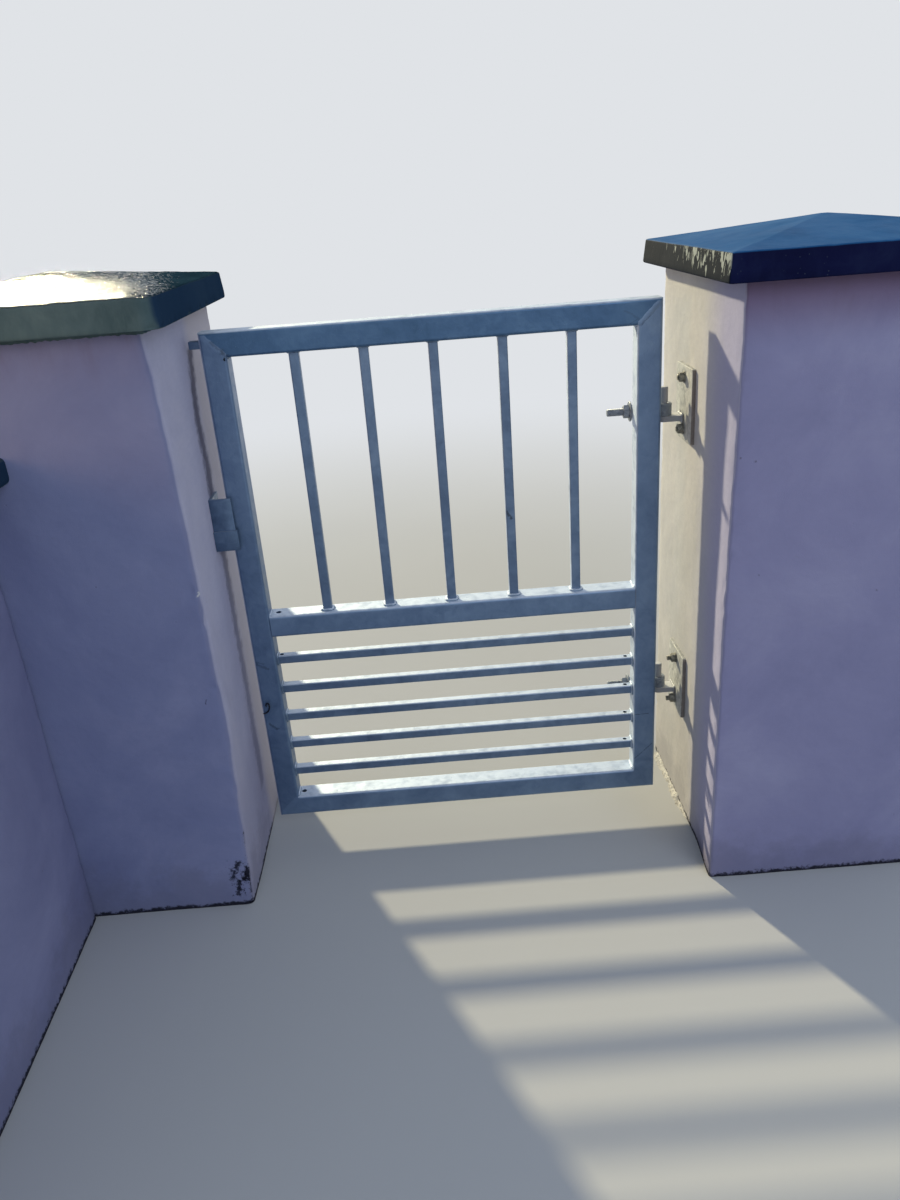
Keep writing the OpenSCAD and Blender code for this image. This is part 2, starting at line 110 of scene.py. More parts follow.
class Finish(Graph):
    """One procedural material, whose patterns are laid out in the piece's own metres.

    Its colour starts as a ramp, and tints are laid over that one by one. Tints are red, green and blue as
    they show on a screen.
    """

    def __init__(self, name, metallic=0.0, specular=0.5, coat_roughness=0.1):
        self.material = bpy.data.materials.new(name)
        self.material.use_nodes = True
        super().__init__(self.material.node_tree)
        self.shader = self.tree.nodes["Principled BSDF"]
        for socket, value in zip(("Metallic", "Specular IOR Level", "Coat Roughness"),
                                 (metallic, specular, coat_roughness)):
            self.shader.inputs[socket].default_value = value
        coordinates = self.add("TexCoord")
        self.place = coordinates.outputs["Object"]
        self.x, self.y, self.z = self.add("SeparateXYZ", {0: self.place}).outputs
        self.facing = self.add("SeparateXYZ", {0: coordinates.outputs["Normal"]}).outputs
        self.colour = None
        self.normal = None

    def connect(self, name, value):
        self.tree.links.new(value, self.shader.inputs[name])

    def cloud(self, scale, detail=3.0, rough=0.55, warp=0.0, stretch=(1, 1, 1), shift=0.0):
        """Noise from 0 to 1, with scale lumps a metre, drawn out by stretch along each axis."""
        place = self.add("Mapping", {0: self.place, 1: (shift, shift, shift), 3: [1 / s for s in stretch]})
        return self.add("TexNoise", {"Vector": place.outputs[0], "Scale": scale, "Detail": detail,
                                     "Roughness": rough, "Distortion": warp}).outputs[0]

    def patches(self, scale, low, high, to_low=0.0, to_high=1.0, **look):
        """Change from to_low to to_high where the noise goes from low to high."""
        return self.step(self.cloud(scale, **look), low, high, to_low, to_high)

    def cells(self, scale, output="Distance", wobble=0.0):
        """Voronoi cells, scale a metre; wobble bends their edges by that share of a metre."""
        place = self.place
        if wobble:
            bend = self.add("TexNoise", {"Vector": self.place, "Scale": scale * 2, "Detail": 3.0}).outputs[1]
            bend = self.add("VectorMath", {0: bend, 1: (0.5, 0.5, 0.5)}, operation="SUBTRACT").outputs[0]
            bend = self.add("VectorMath", {0: bend, 3: wobble}, operation="SCALE").outputs[0]
            place = self.add("VectorMath", {0: self.place, 1: bend}, operation="ADD").outputs[0]
        return self.add("TexVoronoi", {"Vector": place, "Scale": scale}).outputs[output]

    def grains(self, scale, wobble):
        """A level from 0 to 1 of its own in each cell."""
        return self.add("SeparateColor", {0: self.cells(scale, "Color", wobble)}).outputs[0]

    def ramp(self, value, places, tints):
        """Tints along a value, each at its own place."""
        node = self.add("ValToRGB", {0: value})
        elements = node.color_ramp.elements
        while len(elements) < len(places):
            elements.new(0.5)
        for element, position, tint in zip(elements, places, tints):
            element.position = position
            element.color = linear(tint)
        return node.outputs[0]

    def step(self, value, low, high, to_low=0.0, to_high=1.0):
        """Smooth change from to_low to to_high as value goes from low to high."""
        return self.add("MapRange", {0: value, 1: low, 2: high, 3: to_low, 4: to_high},
                        interpolation_type="SMOOTHSTEP").outputs[0]

    def product(self, *values):
        result = values[0]
        for value in values[1:]:
            result = self.maths("MULTIPLY", result, value)
        return result

    def total(self, *values):
        result = values[0]
        for value in values[1:]:
            result = self.maths("ADD", result, value)
        return result

    def rest(self, share):
        return self.maths("SUBTRACT", 1.0, share)

    def near_line(self, along, aside, points):
        """How far aside is from a smooth line through points of (along, aside), in metres."""
        start, end = points[0][0], points[-1][0]
        least, most = min(b for a, b in points), max(b for a, b in points)
        share = self.add("MapRange", {0: along, 1: start, 2: end}).outputs[0]
        node = self.add("FloatCurve", {1: share})
        curve = node.mapping.curves[0]
        while len(curve.points) < len(points):
            curve.points.new(0.5, 0.5)
        for knot, (a, b) in zip(curve.points, points):
            knot.location = ((a - start) / (end - start), (b - least) / (most - least))
        node.mapping.update()
        centre = self.add("MapRange", {0: node.outputs[0], 3: least, 4: most}).outputs[0]
        return self.maths("ABSOLUTE", self.maths("SUBTRACT", aside, centre))

    def along(self, origin, way):
        """How far a place lies from an origin along a direction."""
        local = self.add("VectorMath", {0: self.place, 1: origin}, operation="SUBTRACT").outputs[0]
        return self.add("VectorMath", {0: local, 1: way}, operation="DOT_PRODUCT").outputs["Value"]

    def stroke(self, x0, z0, x1, z1, width):
        """Ragged stroke on upright faces, from one point in X and Z to another."""
        half = hypot(x1 - x0, z1 - z0) / 2
        across_x, across_z = (x1 - x0) / half / 2, (z1 - z0) / half / 2
        run = self.along((x0, 0, z0), (across_x, 0, across_z))
        aside = self.along((x0, 0, z0), (-across_z, 0, across_x))
        past = self.maths("SUBTRACT", self.maths("ABSOLUTE", self.maths("SUBTRACT", run, half)), half)
        away = self.maths("MAXIMUM", past, self.maths("ABSOLUTE", aside))
        rag = self.patches(170, 0.3, 0.7, -width * 0.34, width * 0.34, detail=4, rough=0.7)
        return self.step(self.total(away, rag), width * 0.7, width * 0.1)

    def lay(self, tint, *shares):
        """Lays a tint or a ramp over the colour, by the product of the shares."""
        if not isinstance(tint, bpy.types.NodeSocket):
            tint = linear(tint)
        self.colour = self.add("Mix", {0: self.product(*shares), 6: self.colour, 7: tint},
                               data_type="RGBA").outputs[2]

    def draw(self, rows, tint, *areas):
        """Lays strokes on the areas, from rows of two points, a width and a depth."""
        for *line, depth in rows:
            self.lay(tint, *areas, self.stroke(*line), depth)

    def bump(self, height, depth):
        """Adds a relief of that depth in metres to what is there already."""
        inputs = {"Height": height, "Distance": depth, "Strength": 1.0}
        if self.normal:
            inputs["Normal"] = self.normal
        self.normal = self.add("Bump", inputs).outputs[0]

    def done(self, roughness):
        self.connect("Base Color", self.colour)
        self.connect("Roughness", roughness)
        if self.normal:
            self.connect("Normal", self.normal)
        return self.material


def zinc_finish(name, shades, bloom_and_highlight=0.75, scuffs=()):
    """Hot-dip zinc: mottles, faint spangle, runs, scuffs, and pale upper faces, part white rust and part
    painted highlight.
    """
    f = Finish(name, metallic=0.55)
    dark, light = shades[0], shades[-1]
    clouds = f.cloud(9, detail=4, warp=0.8)
    mottles = f.cloud(34, detail=2, warp=1.3, shift=3.1)
    f.colour = f.ramp(f.total(f.product(clouds, 0.6), f.product(mottles, 0.4)), (0.32, 0.5, 0.7), shades)
    f.lay(light, f.step(f.grains(150, 0.003), 0.0, 1.0, 0.0, 0.07))
    f.lay(light, f.patches(52, 0.58, 0.78, 0.0, 0.14, detail=2, stretch=(1, 1, 8), shift=7.7))
    f.lay(dark, f.patches(24, 0.6, 0.74, detail=4, rough=0.6, warp=1.5, shift=5.3), 0.25)
    # Upward faces and faces towards the light behind (-X) are paled: part white rust, part painted highlight.
    sunlit_faces = f.maths("MAXIMUM", f.step(f.facing[2], 0.35, 0.95), f.step(f.facing[0], -0.35, -0.95))
    frost_and_highlight = f.patches(45, 0.2, 0.6, 0.6, 1.0, rough=0.5, shift=1.9)
    f.lay((224, 235, 250), sunlit_faces, frost_and_highlight, bloom_and_highlight)
    specks = f.product(f.step(f.cells(330), 0.13, 0.07), f.patches(34, 0.58, 0.7, detail=2, shift=9.2))
    f.lay((190, 202, 212), specks, 0.45)
    f.draw(scuffs, (34, 40, 50), f.step(f.facing[1], -0.7, -0.95))
    f.bump(f.cloud(30, shift=2.2), 0.0012)
    f.bump(f.cloud(240, rough=0.6), 0.0002)
    f.bump(specks, 0.0003)
    return f.done(f.total(f.step(mottles, 0.3, 0.7, 0.34, 0.5), f.product(sunlit_faces, 0.2)))


def render_finish(name, top, fronts, reveals, cap_shade, gate_way=0, low=None, near=None,
                  marks=(), specks=(), shade_line=()):
    """Painted sand and cement render with a soiled foot.

    The reveal faces gate_way along X, or both ways for 0. The fronts take darker, bluer tones than the
    reveals, a painted shade. low is the reveal's tone near the ground, near its tone by the front arris, a
    painted shade where the leaf's shadow falls. cap_shade is the share of painted shade under the cap. marks
    holds pairs of strokes and their tone, specks strokes that break up into grains, and shade_line the line
    of a painted shade along the gap behind the latch stile.
    """
    f = Finish(name, specular=0.12)
    band, foot, joint = 0.12, 0.13, 0.013
    clouds = f.cloud(3.4, detail=6, rough=0.62, warp=0.6)
    places = (0.3, 0.5, 0.72)
    either_way = f.maths("ABSOLUTE", f.facing[0])
    sideways = f.step(f.product(f.facing[0], gate_way) if gate_way else either_way, 0.6, 0.9)
    # The fronts take darker, bluer tones than the reveals: a painted shade of the same paint.
    f.colour = f.ramp(clouds, places, fronts)
    f.lay(f.ramp(clouds, places, reveals), sideways)
    if low:
        f.lay(low, sideways, f.step(f.z, 0.6, 0.05), 0.3)
    if near:
        # By the front arris the reveal turns darker and bluer: painted shade where the leaf's shadow falls.
        f.lay(near, sideways, f.step(f.y, leaf_y0 - 0.03, leaf_y0 - 0.2), 0.9)
        soil = f.product(f.step(f.y, leaf_y0 - 0.1, leaf_y0 - 0.2), f.step(f.z, 0.06, 0.005), sideways)
        f.lay((52, 48, 62), soil, 0.7)
    arris = f.product(f.step(either_way, 0.15, 0.45), f.step(f.maths("ABSOLUTE", f.facing[1]), 0.15, 0.45))
    f.lay((120, 118, 142), arris, 0.2)
    f.lay(fronts[0], f.patches(70, 0.35, 0.65, 0.0, 0.06, stretch=(2, 2, 0.5), shift=6.1))
    # A painted shade under the cap's overhang darkens the top band of the fronts, with streaks of dirt in it.
    under_cap = f.product(f.step(f.z, top - band, top), f.rest(sideways))
    f.lay((104, 78, 105), under_cap, cap_shade)
    streaks = f.patches(20, 0.45, 0.75, detail=5, rough=0.65, stretch=(1, 1, 5), warp=0.5, shift=2.8)
    f.lay((104, 90, 108), under_cap, streaks, 0.3)
    ragged = f.total(f.z, f.patches(9, 0.25, 0.75, 0.06, -0.08, detail=5, rough=0.7, shift=8.8))
    f.lay((104, 102, 116), f.step(ragged, foot, 0.0), 0.3)
    uneven = f.total(f.z, f.patches(95, 0.3, 0.7, 0.005, -0.005, detail=5, rough=0.7, shift=1.2))
    f.lay((24, 24, 34), f.step(uneven, joint, 0.005), 0.95)
    f.lay((122, 124, 116), f.patches(24, 0.66, 0.78, detail=5, rough=0.7, warp=1.0, shift=3.9), 0.16)
    pocks = f.product(f.step(f.cells(38), 0.085, 0.055), f.patches(6, 0.6, 0.68, shift=7.3))
    f.lay((98, 94, 100), pocks, 0.4)
    frontmost = f.product(f.step(f.y, leaf_y0 - 0.15, leaf_y0 - 0.21), f.step(f.facing[0], 0.93, 0.75))
    for rows, tint in marks:
        f.draw(rows, tint, frontmost)
    if specks:
        f.draw(specks, STAIN, frontmost, f.patches(130, 0.56, 0.63, detail=4, rough=0.7, shift=6.4))
    if shade_line:
        bottom, head = shade_line[0][0], shade_line[-1][0]
        # Behind the leaf's front the reveal is lighter: painted light.
        f.lay((200, 192, 198), f.step(f.y, leaf_y0 + 0.02, leaf_y0 + 0.09), sideways, 0.6)
        # A dark band runs down the reveal along the gap behind the latch stile: painted shade.
        away = f.total(f.near_line(f.z, f.y, shade_line), f.patches(60, 0.3, 0.7, -0.006, 0.006, detail=4))
        ends = f.product(f.step(f.z, bottom, bottom + 0.02), f.step(f.z, head, head - 0.01))
        gap_shade = f.product(f.step(away, 0.036, 0.006), f.step(f.z, 0.2, 1.15, 0.4, 0.82))
        f.lay((70, 68, 88), gap_shade, ends, sideways)
    f.bump(f.cloud(12, shift=1.4), 0.003)
    f.bump(f.cloud(46, detail=4, rough=0.6, stretch=(2.2, 2.2, 1), shift=3.3), 0.0007)
    f.bump(f.cloud(620, detail=2, rough=0.5), 0.0003)
    f.bump(pocks, -0.001)
    return f.done(f.step(clouds, 0.3, 0.7, 0.76, 0.9))


def cap_finish(name, tops, fronts, gate_side, specular=0.06, wet=0.0, grit=0.0, drips=0.0):
    """Matt masonry paint on cast concrete; gate_side is the tone of the face to the gate.

    wet is the weight of a film of water on top, grit the depth of the grain under it, and drips the share of
    the paint that has run down the face to the gate.
    """
    f = Finish(name, specular=specular, coat_roughness=0.13)
    clouds = f.cloud(6.5, detail=5, rough=0.6, warp=0.7)
    places = (0.3, 0.52, 0.74)
    upward = f.step(f.facing[2], 0.3, 0.8)
    sideways = f.product(f.step(f.maths("ABSOLUTE", f.facing[0]), 0.6, 0.9), f.rest(upward))
    f.colour = f.ramp(clouds, places, fronts)
    # Tops take tones of their own; on the right cap these are a painted reflection of the sky.
    f.lay(f.ramp(clouds, places, tops), upward)
    # The face to the gate takes a tone of its own: a painted shade on the left cap, dark soiled paint on the
    # right.
    f.lay(gate_side, sideways, 0.9)
    f.lay(tops[2], f.patches(48, 0.42, 0.68, 0.0, 0.25, detail=5, rough=0.65, shift=2.6), upward)
    side = f.product(f.step(f.facing[2], 0.5, 0.1), f.rest(sideways))
    f.lay(fronts[2], side, f.patches(36, 0.44, 0.7, detail=5, rough=0.7, stretch=(1, 1, 3), shift=4.2), 0.35)
    f.lay((96, 108, 116), f.step(f.cells(120), 0.16, 0.09), f.patches(14, 0.55, 0.66, shift=6.6), 0.3)
    if drips:
        noise_level = f.cloud(50, detail=3.5, rough=0.6, stretch=(1, 1, 2.3), warp=1.3, shift=2.3)
        towards_front = f.step(f.y, leaf_y1 + 0.2, leaf_y0 - 0.27, -0.12, 0.045)
        towards_top = f.step(f.z, right_top + 0.002, right_top + 0.03, -0.12, 0.02)
        runs = f.step(f.total(noise_level, towards_front, towards_top), 0.565, 0.6)
        drops = f.product(f.step(f.cells(210), 0.3, 0.2), f.step(f.z, right_top + 0.034, right_top + 0.044),
                          f.step(f.y, leaf_y0 - 0.1, leaf_y0 - 0.2))
        white = f.product(sideways, f.maths("MAXIMUM", runs, drops))
        f.lay((168, 174, 170), white, drips)
        f.bump(white, 0.0012)
    f.bump(f.cloud(9, shift=5.1), 0.003)
    f.bump(f.cloud(95, detail=4, rough=0.62), 0.0006)
    if grit:
        f.bump(f.product(upward, f.cloud(230, detail=2.5)), grit)
    if wet:
        beads, bead_wobble = 270, 0.0015
        off_dry_corner = f.step(f.total(f.x, f.product(f.y, 0.21)), -0.375, -0.475)
        share = f.product(off_dry_corner, f.step(f.y, 0.5, 0.3, 0.6, 1.1))
        film = f.step(f.maths("SUBTRACT", share, f.grains(beads, bead_wobble)), -0.02, 0.04)
        f.connect("Coat Weight", f.product(upward, film, wet))
        dome = f.product(f.cells(beads, wobble=bead_wobble), -1.0)
        relief = f.add("Bump", {"Height": dome, "Distance": 0.0007, "Strength": 1.0, "Normal": f.normal})
        f.connect("Coat Normal", relief.outputs[0])
    damp = f.patches(7.5, 0.3, 0.62, detail=4, shift=3.7)
    return f.done(f.maths("SUBTRACT", 0.8, f.product(upward, damp, 0.18)))


def mortar_finish():
    """Pale lumpy mortar with sand in it."""
    f = Finish("mortar", specular=0.2)
    shades = ((92, 86, 82), (194, 190, 184), (222, 218, 210))
    f.colour = f.ramp(f.cloud(60, detail=5, rough=0.7), (0.32, 0.44, 0.64), shades)
    sand = f.step(f.cells(210, wobble=0.003), 0.3, 0.18)
    f.lay((72, 64, 62), sand, 0.75)
    f.bump(f.cloud(150, detail=5, rough=0.7), 0.0016)
    f.bump(f.cloud(900, detail=2), 0.0004)
    return f.done(f.step(sand, 0, 1, 0.85, 0.95))


def steel_finish(name, shades, rust, metallic=0.2, edges=None, tongue=None):
    """Dulled zinc on the hinges: blotched and a little rusty.

    edges is the tone of the front edges, a painted shade; tongue that of what stands off a wall plate.
    """
    f = Finish(name, metallic=metallic, specular=0.3)
    blotches = f.cloud(70, detail=5, rough=0.65, warp=1.0)
    f.colour = f.ramp(blotches, (0.32, 0.52, 0.72), shades)
    f.lay((206, 206, 198), f.patches(140, 0.58, 0.72, detail=4, rough=0.7, shift=3.1), 0.4)
    f.lay((112, 66, 40), f.patches(210, 0.64, 0.72, detail=4, rough=0.7, shift=5.7), rust)
    f.bump(f.cloud(160, detail=4, rough=0.6), 0.0004)
    f.bump(f.cloud(700, detail=2), 0.00012)
    if edges:
        # Edges that face the front are darkened: painted shade.
        f.lay(edges, f.step(f.facing[1], -0.5, -0.9), 0.8)
    if tongue:
        off_plate = f.step(f.x, right_reveal - 0.009, right_reveal - 0.012)
        f.lay(tongue, off_plate, 0.8)
        # Top faces off the plate are lightened: painted highlight.
        f.lay((228, 228, 226), off_plate, f.step(f.facing[2], 0.6, 0.95), 0.6)
    smoother = f.step(f.facing[2], 0.4, 0.9, 0.0, 0.2)
    return f.done(f.maths("SUBTRACT", f.step(blotches, 0.3, 0.7, 0.5, 0.7), smoother))


def strokes(left, foot, *rows):
    """Strokes in metres from rows of x, z, x, z and width in millimetres off a corner, and depth."""
    return [(left + x0 * MM, foot + z0 * MM, left + x1 * MM, foot + z1 * MM, width * MM, depth)
            for x0, z0, x1, z1, width, depth in rows]


SCUFFS = strokes(
    leaf_x0, leaf_z0, (6, 413, 28, 401, 6, 0.35), (4, 420, 20, 414, 4, 0.25), (12, 258, 27, 243, 6, 0.45),
    (858, 204, 894, 205, 2, 0.5), (861, 81, 904, 122, 2.5, 0.4), (842, 1092, 858, 1100, 1.2, 0.4),
    (24, 1118, 44, 1099, 6, 0.32), (43, 1099, 51, 1088, 10, 0.4), (834, 1118, 848, 1111, 5, 0.2),
    (848, 1111, 864, 1099, 5, 0.2))
BAR_SCUFFS = strokes(BOX["upright_bar_4"][0].x, 0, (2, 779, 12, 765, 6, 0.7))
bent_reveal = left_reveal + 6 * MM
FOOT_MARKS = strokes(
    bent_reveal, 0, (-14, 72, -7, 92, 21, 0.95), (-18, 68, -13, 80, 12, 0.9), (-8, 72, -10, 30, 4, 0.7),
    (-42, 76, -38, 90, 13, 0.9), (-32, 103, -26, 114, 12, 0.9), (-34, 52, -30, 66, 12, 0.9),
    (-38, 31, -34, 43, 11, 0.9), (0, 136, 2, 141, 3, 0.8), (4, 206, -1, 188, 5, 0.8),
    (-1, 188, -4, 160, 4, 0.4), (-9, 12, -4, 28, 10, 0.8), (-14, 3, 6, 9, 12, 0.95),
    (-26, 512, -24, 520, 3, 0.6))
CHIPS = strokes(left_reveal, 0, (5, 742, 8, 747, 5, 0.9))
SPECKS = strokes(
    bent_reveal, 0, (-30, 36, -33, 104, 34, 0.9), (-12, 60, -8, 104, 20, 0.8), (-6, 118, -2, 150, 8, 0.5),
    (-10, 6, -2, 22, 22, 0.9))
# Painted shade along the gap behind the latch stile, on the left reveal: heights, and how far behind the
# leaf's front it lies
GAP_SHADE_LINE = [(z * MM, leaf_y0 + y * MM)
        for z, y in ((130, 10), (188, 20), (316, 25), (411, 32), (562, 36), (681, 42), (863, 31),
                     (928, 34), (1003, 28), (1102, 45), (1167, 71))]
STAIN = (22, 22, 34)

ZINC = zinc_finish("leaf_zinc", ((93, 117, 149), (107, 131, 163), (122, 146, 176)), scuffs=SCUFFS)
# The latch stile takes a darker copy of the same zinc: a painted shade.
LATCH_ZINC = zinc_finish("latch_stile_zinc", ((84, 107, 138), (97, 120, 152), (112, 135, 165)), scuffs=SCUFFS)
TOP_ZINC = zinc_finish("top_rail_zinc", ((58, 90, 124), (70, 102, 138), (88, 120, 154)), scuffs=SCUFFS)
BAR_ZINC = zinc_finish("bar_zinc", ((88, 108, 136), (102, 124, 153), (122, 143, 170)), scuffs=BAR_SCUFFS)
WELD_ZINC = zinc_finish("weld_zinc", ((88, 108, 132), (112, 133, 158), (144, 162, 182)))
KEEPER_ZINC = zinc_finish("keeper_zinc", ((72, 92, 118), (88, 110, 138), (112, 134, 160)), bloom_and_highlight=0.15)
PLATE_ZINC = steel_finish("plate_zinc", ((146, 147, 146), (180, 181, 179), (208, 208, 204)), 0.12,
                          metallic=0.1, edges=(112, 102, 98), tongue=(176, 178, 186))
HINGE_STEEL = steel_finish("hinge_zinc", ((112, 120, 132), (142, 150, 162), (174, 180, 188)), 0.12)
WIRE_STEEL = steel_finish("wire_steel", ((14, 22, 34), (20, 28, 42), (34, 40, 52)), 0.2)
ANCHOR_STEEL = steel_finish("anchor_zinc", ((96, 96, 92), (138, 136, 128), (200, 196, 182)), 0.3)
# The piers' fronts are darker and bluer than their reveals: painted shade.
LEFT_RENDER = render_finish(
    "left_pier_render", left_top, ((122, 128, 166), (132, 138, 175), (145, 149, 184)),
    ((170, 170, 198), (182, 182, 208), (193, 191, 213)), 0.15, gate_way=1, low=(96, 88, 116),
    marks=((FOOT_MARKS, STAIN), (CHIPS, (206, 206, 208))), specks=SPECKS, shade_line=GAP_SHADE_LINE)
SHADED_FRONTS = ((133, 133, 170), (143, 142, 179), (155, 154, 188))
RIGHT_RENDER = render_finish(
    "right_pier_render", right_top, SHADED_FRONTS, ((191, 190, 190), (201, 199, 199), (210, 208, 207)), 0.75,
    gate_way=-1, low=(150, 138, 122), near=(170, 168, 200))
GARDEN_RENDER = render_finish("garden_wall_render", BOX["garden_wall"][1].z, SHADED_FRONTS,
                              ((124, 127, 164), (135, 138, 174), (147, 149, 184)), 0.3)
# Left cap: the navy of its face to the gate is a painted shade.
LEFT_CAP = cap_finish(
    "left_cap_paint", ((24, 44, 56), (32, 54, 68), (42, 66, 80)),
    ((66, 84, 88), (83, 101, 105), (99, 117, 119)), (30, 52, 80), specular=0.0, wet=0.8, grit=0.0024)
# Right cap: its blue tops are a painted reflection of the sky, its dark navy fronts a painted shade.
RIGHT_CAP = cap_finish(
    "right_cap_paint", ((26, 78, 128), (36, 88, 140), (50, 100, 150)),
    ((11, 15, 48), (15, 20, 58), (26, 34, 68)), (12, 23, 33), drips=0.9)
MORTAR = mortar_finish()


# Shapes

def lumps(point, size, seed=0):
    """Smooth noise from about -1 to 1, with lumps of that size in metres."""
    return noise.noise(Vector(point) / size + Vector((7.3, 3.1, 5.7)) * seed)


def layers(point, seed, *rows):
    """Sum of lumps from rows of height and size, each with a seed of its own from seed on."""
    return sum(height * lumps(point, size, seed + i) for i, (height, size) in enumerate(rows))


def ease(value, low, high):
    share = min(max((value - low) / (high - low), 0.0), 1.0)
    return share * share * (3 - 2 * share)


BEAD_STEP = 0.0009
BEAD_SIDES = 10


class Shape:
    """Gathers closed shells of points and faces that become one piece."""

    def __init__(self):
        self.points = []
        self.faces = []

    def loft(self, rings, loop=False):
        """Skin over rings of points that run anticlockwise about the way of travel."""
        first = len(self.points)
        count = len(rings[0])
        for ring in rings:
            self.points.extend(ring)
        for i in range(len(rings) if loop else len(rings) - 1):
            low = first + i * count
            high = first + (i + 1) % len(rings) * count
            for j in range(count):
                k = (j + 1) % count
                self.faces.append((low + j, low + k, high + k, high + j))
        if not loop:
            self.faces.append(tuple(reversed(range(first, first + count))))
            self.faces.append(tuple(range(len(self.points) - count, len(self.points))))

    def turned(self, origin, axis, profile, steps=32):
        """Solid of revolution; the profile's points are (distance along the axis, radius)."""
        side, up = across(axis)
        self.loft([ring_of(origin + axis * along, side, up, [radius] * steps) for along, radius in profile])

    def bead(self, path, up, width, height=None, loop=False, seed=0, pitch=0.0032):
        """Weld bead along a path: ripples, swellings, and ends that taper off."""
        path = walk(path, BEAD_STEP, loop)
        count = len(path)
        rings = []
        for i, point in enumerate(path):
            before = path[(i - 1) % count] if loop or i else point
            after = path[(i + 1) % count] if loop or i < count - 1 else point
            way = (after - before).normalized()
            side = up.cross(way).normalized()
            rise = way.cross(side)
            run = i * BEAD_STEP
            swell = 1 + 0.24 * lumps(point, 0.009, seed) + 0.12 * lumps(point, 0.003, seed + 1)
            if not loop:
                swell *= 0.35 + 0.65 * ease(min(i, count - 1 - i), 0, 5)
            ring = []
            for j in range(BEAD_SIDES):
                turn = 2 * pi * j / BEAD_SIDES
                ripple = 1 + 0.07 * sin(2 * pi * run / pitch + 1.1 * cos(turn))
                reach = swell * ripple
                ring.append(point + side * cos(turn) * width / 2 * reach
                            + rise * sin(turn) * (height or width / 2) * reach)
            rings.append(ring)
        self.loft(rings, loop)

    def bead_round(self, centre, half_u, half_v, u, v, width, height, seed, radius=0.003):
        """Weld bead round a rectangle with round corners, in the plane of u and v."""
        plan = round_plan(-half_u, -half_v, half_u, half_v, radius, 4, 4, 4)
        self.bead([centre + u * a + v * b for a, b in plan], u.cross(v), width, height, loop=True, seed=seed)

    def drop(self, point, length, radius):
        """Frozen drip that hangs from a point."""
        neck = [(-0.001, radius * 0.9), (0.0, radius), (0.25, radius * 0.72), (0.6, radius * 0.6),
                (0.85, radius * 0.62), (1.0, radius * 0.15)]
        self.turned(point, -Z, [(along * (length if along > 0 else 1), r) for along, r in neck], 8)

    def piece(self, name, finish, body, slot, node=None, sharp=60, depth=None):
        """Makes the object; depth(place, normal) is how far each point of the skin moves out."""
        mesh = bpy.data.meshes.new(name)
        mesh.from_pydata([tuple(p) for p in self.points], [], self.faces)
        mesh.update()
        if depth:
            places = [v.co + v.normal * depth(v.co.copy(), v.normal.copy()) for v in mesh.vertices]
            for v, place in zip(mesh.vertices, places):
                v.co = [min(max(c, low), high) for c, low, high in zip(place, *cad_box)]
            mesh.update()
        dress(mesh, name, finish, body, node, sharp)


def place_in_scene(name, data):
    thing = bpy.data.objects.new(name, data)
    bpy.context.scene.collection.objects.link(thing)
    return thing


def dress(mesh, name, finish, body, node, sharp):
    """Object for a finished mesh, smooth up to its sharp edges, on its body and in the place of its node."""
    mesh.polygons.foreach_set("use_smooth", [True] * len(mesh.polygons))
    mesh.set_sharp_from_angle(angle=radians(sharp))
    mesh.materials.clear()
    mesh.materials.append(finish)
    piece = place_in_scene(name, mesh)
    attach(piece, body)
    if node:
        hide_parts(node)


def across(axis):
    """Two directions square to an axis, so that the three are right-handed."""
    side = Vector((axis.y, axis.z, axis.x))
    side = (side - axis * side.dot(axis)).normalized()
    return side, axis.cross(side)


def ring_of(centre, side, up, reaches):
    """Ring of points about a centre, from side towards up, each at its own reach."""
    turns = [2 * pi * j / len(reaches) for j in range(len(reaches))]
    return [centre + (side * cos(turn) + up * sin(turn)) * reach for turn, reach in zip(turns, reaches)]


def walk(path, step, loop):
    """Points an even step apart along a path of points."""
    corners = list(path) + ([path[0]] if loop else [])
    spans = [(b - a).length for a, b in zip(corners, corners[1:])]
    total = sum(spans)
    count = max(int(total / step), 4)
    result = []
    index, passed = 0, 0.0
    for i in range(count if loop else count + 1):
        at = total * i / count
        while index < len(spans) - 1 and at > passed + spans[index]:
            passed += spans[index]
            index += 1
        result.append(corners[index].lerp(corners[index + 1], min((at - passed) / spans[index], 1.0)))
    return result


def arc(centre_u, centre_v, radius, turns):
    """Points round a circle at turns in degrees."""
    return [(centre_u + radius * cos(turn), centre_v + radius * sin(turn)) for turn in map(radians, turns)]


def round_plan(x0, y0, x1, y1, radius, along_x, along_y, corner=6):
    """Outline of a rectangle with round corners, anticlockwise, with fixed counts of points."""
    points = []
    left, right, front, back = x0 + radius, x1 - radius, y0 + radius, y1 - radius
    for ax, ay, bx, by, cx, cy, turn, count in (
            (left, y0, right, y0, right, front, -90, along_x), (x1, front, x1, back, right, back, 0, along_y),
            (right, y1, left, y1, left, back, 90, along_x), (x0, back, x0, front, left, front, 180, along_y)):
        points += [(ax + (bx - ax) * i / count, ay + (by - ay) * i / count) for i in range(1, count)]
        points += arc(cx, cy, radius, [turn + 90 * i / corner for i in range(corner + 1)])
    return points


def plan_ring(low, high, z, radius, along_x, along_y, inset=0.0):
    """Ring of points at a height, inset from the plan of a box, with round corners."""
    plan = round_plan(low.x + inset, low.y + inset, high.x - inset, high.y - inset, radius, along_x, along_y)
    return [Vector((x, y, z)) for x, y in plan]


# Masonry

CELL = 0.009
ARRIS = 0.009
LEFT_ARRIS = 0.012
PLATE_T = 0.008
KEEPER_T = 0.006


def trowelled(place, seed):
    """Unevenness of hand-floated render, in metres."""
    return layers(place, seed, (0.0014, 0.26), (0.0006, 0.07), (0.0003, 0.025))


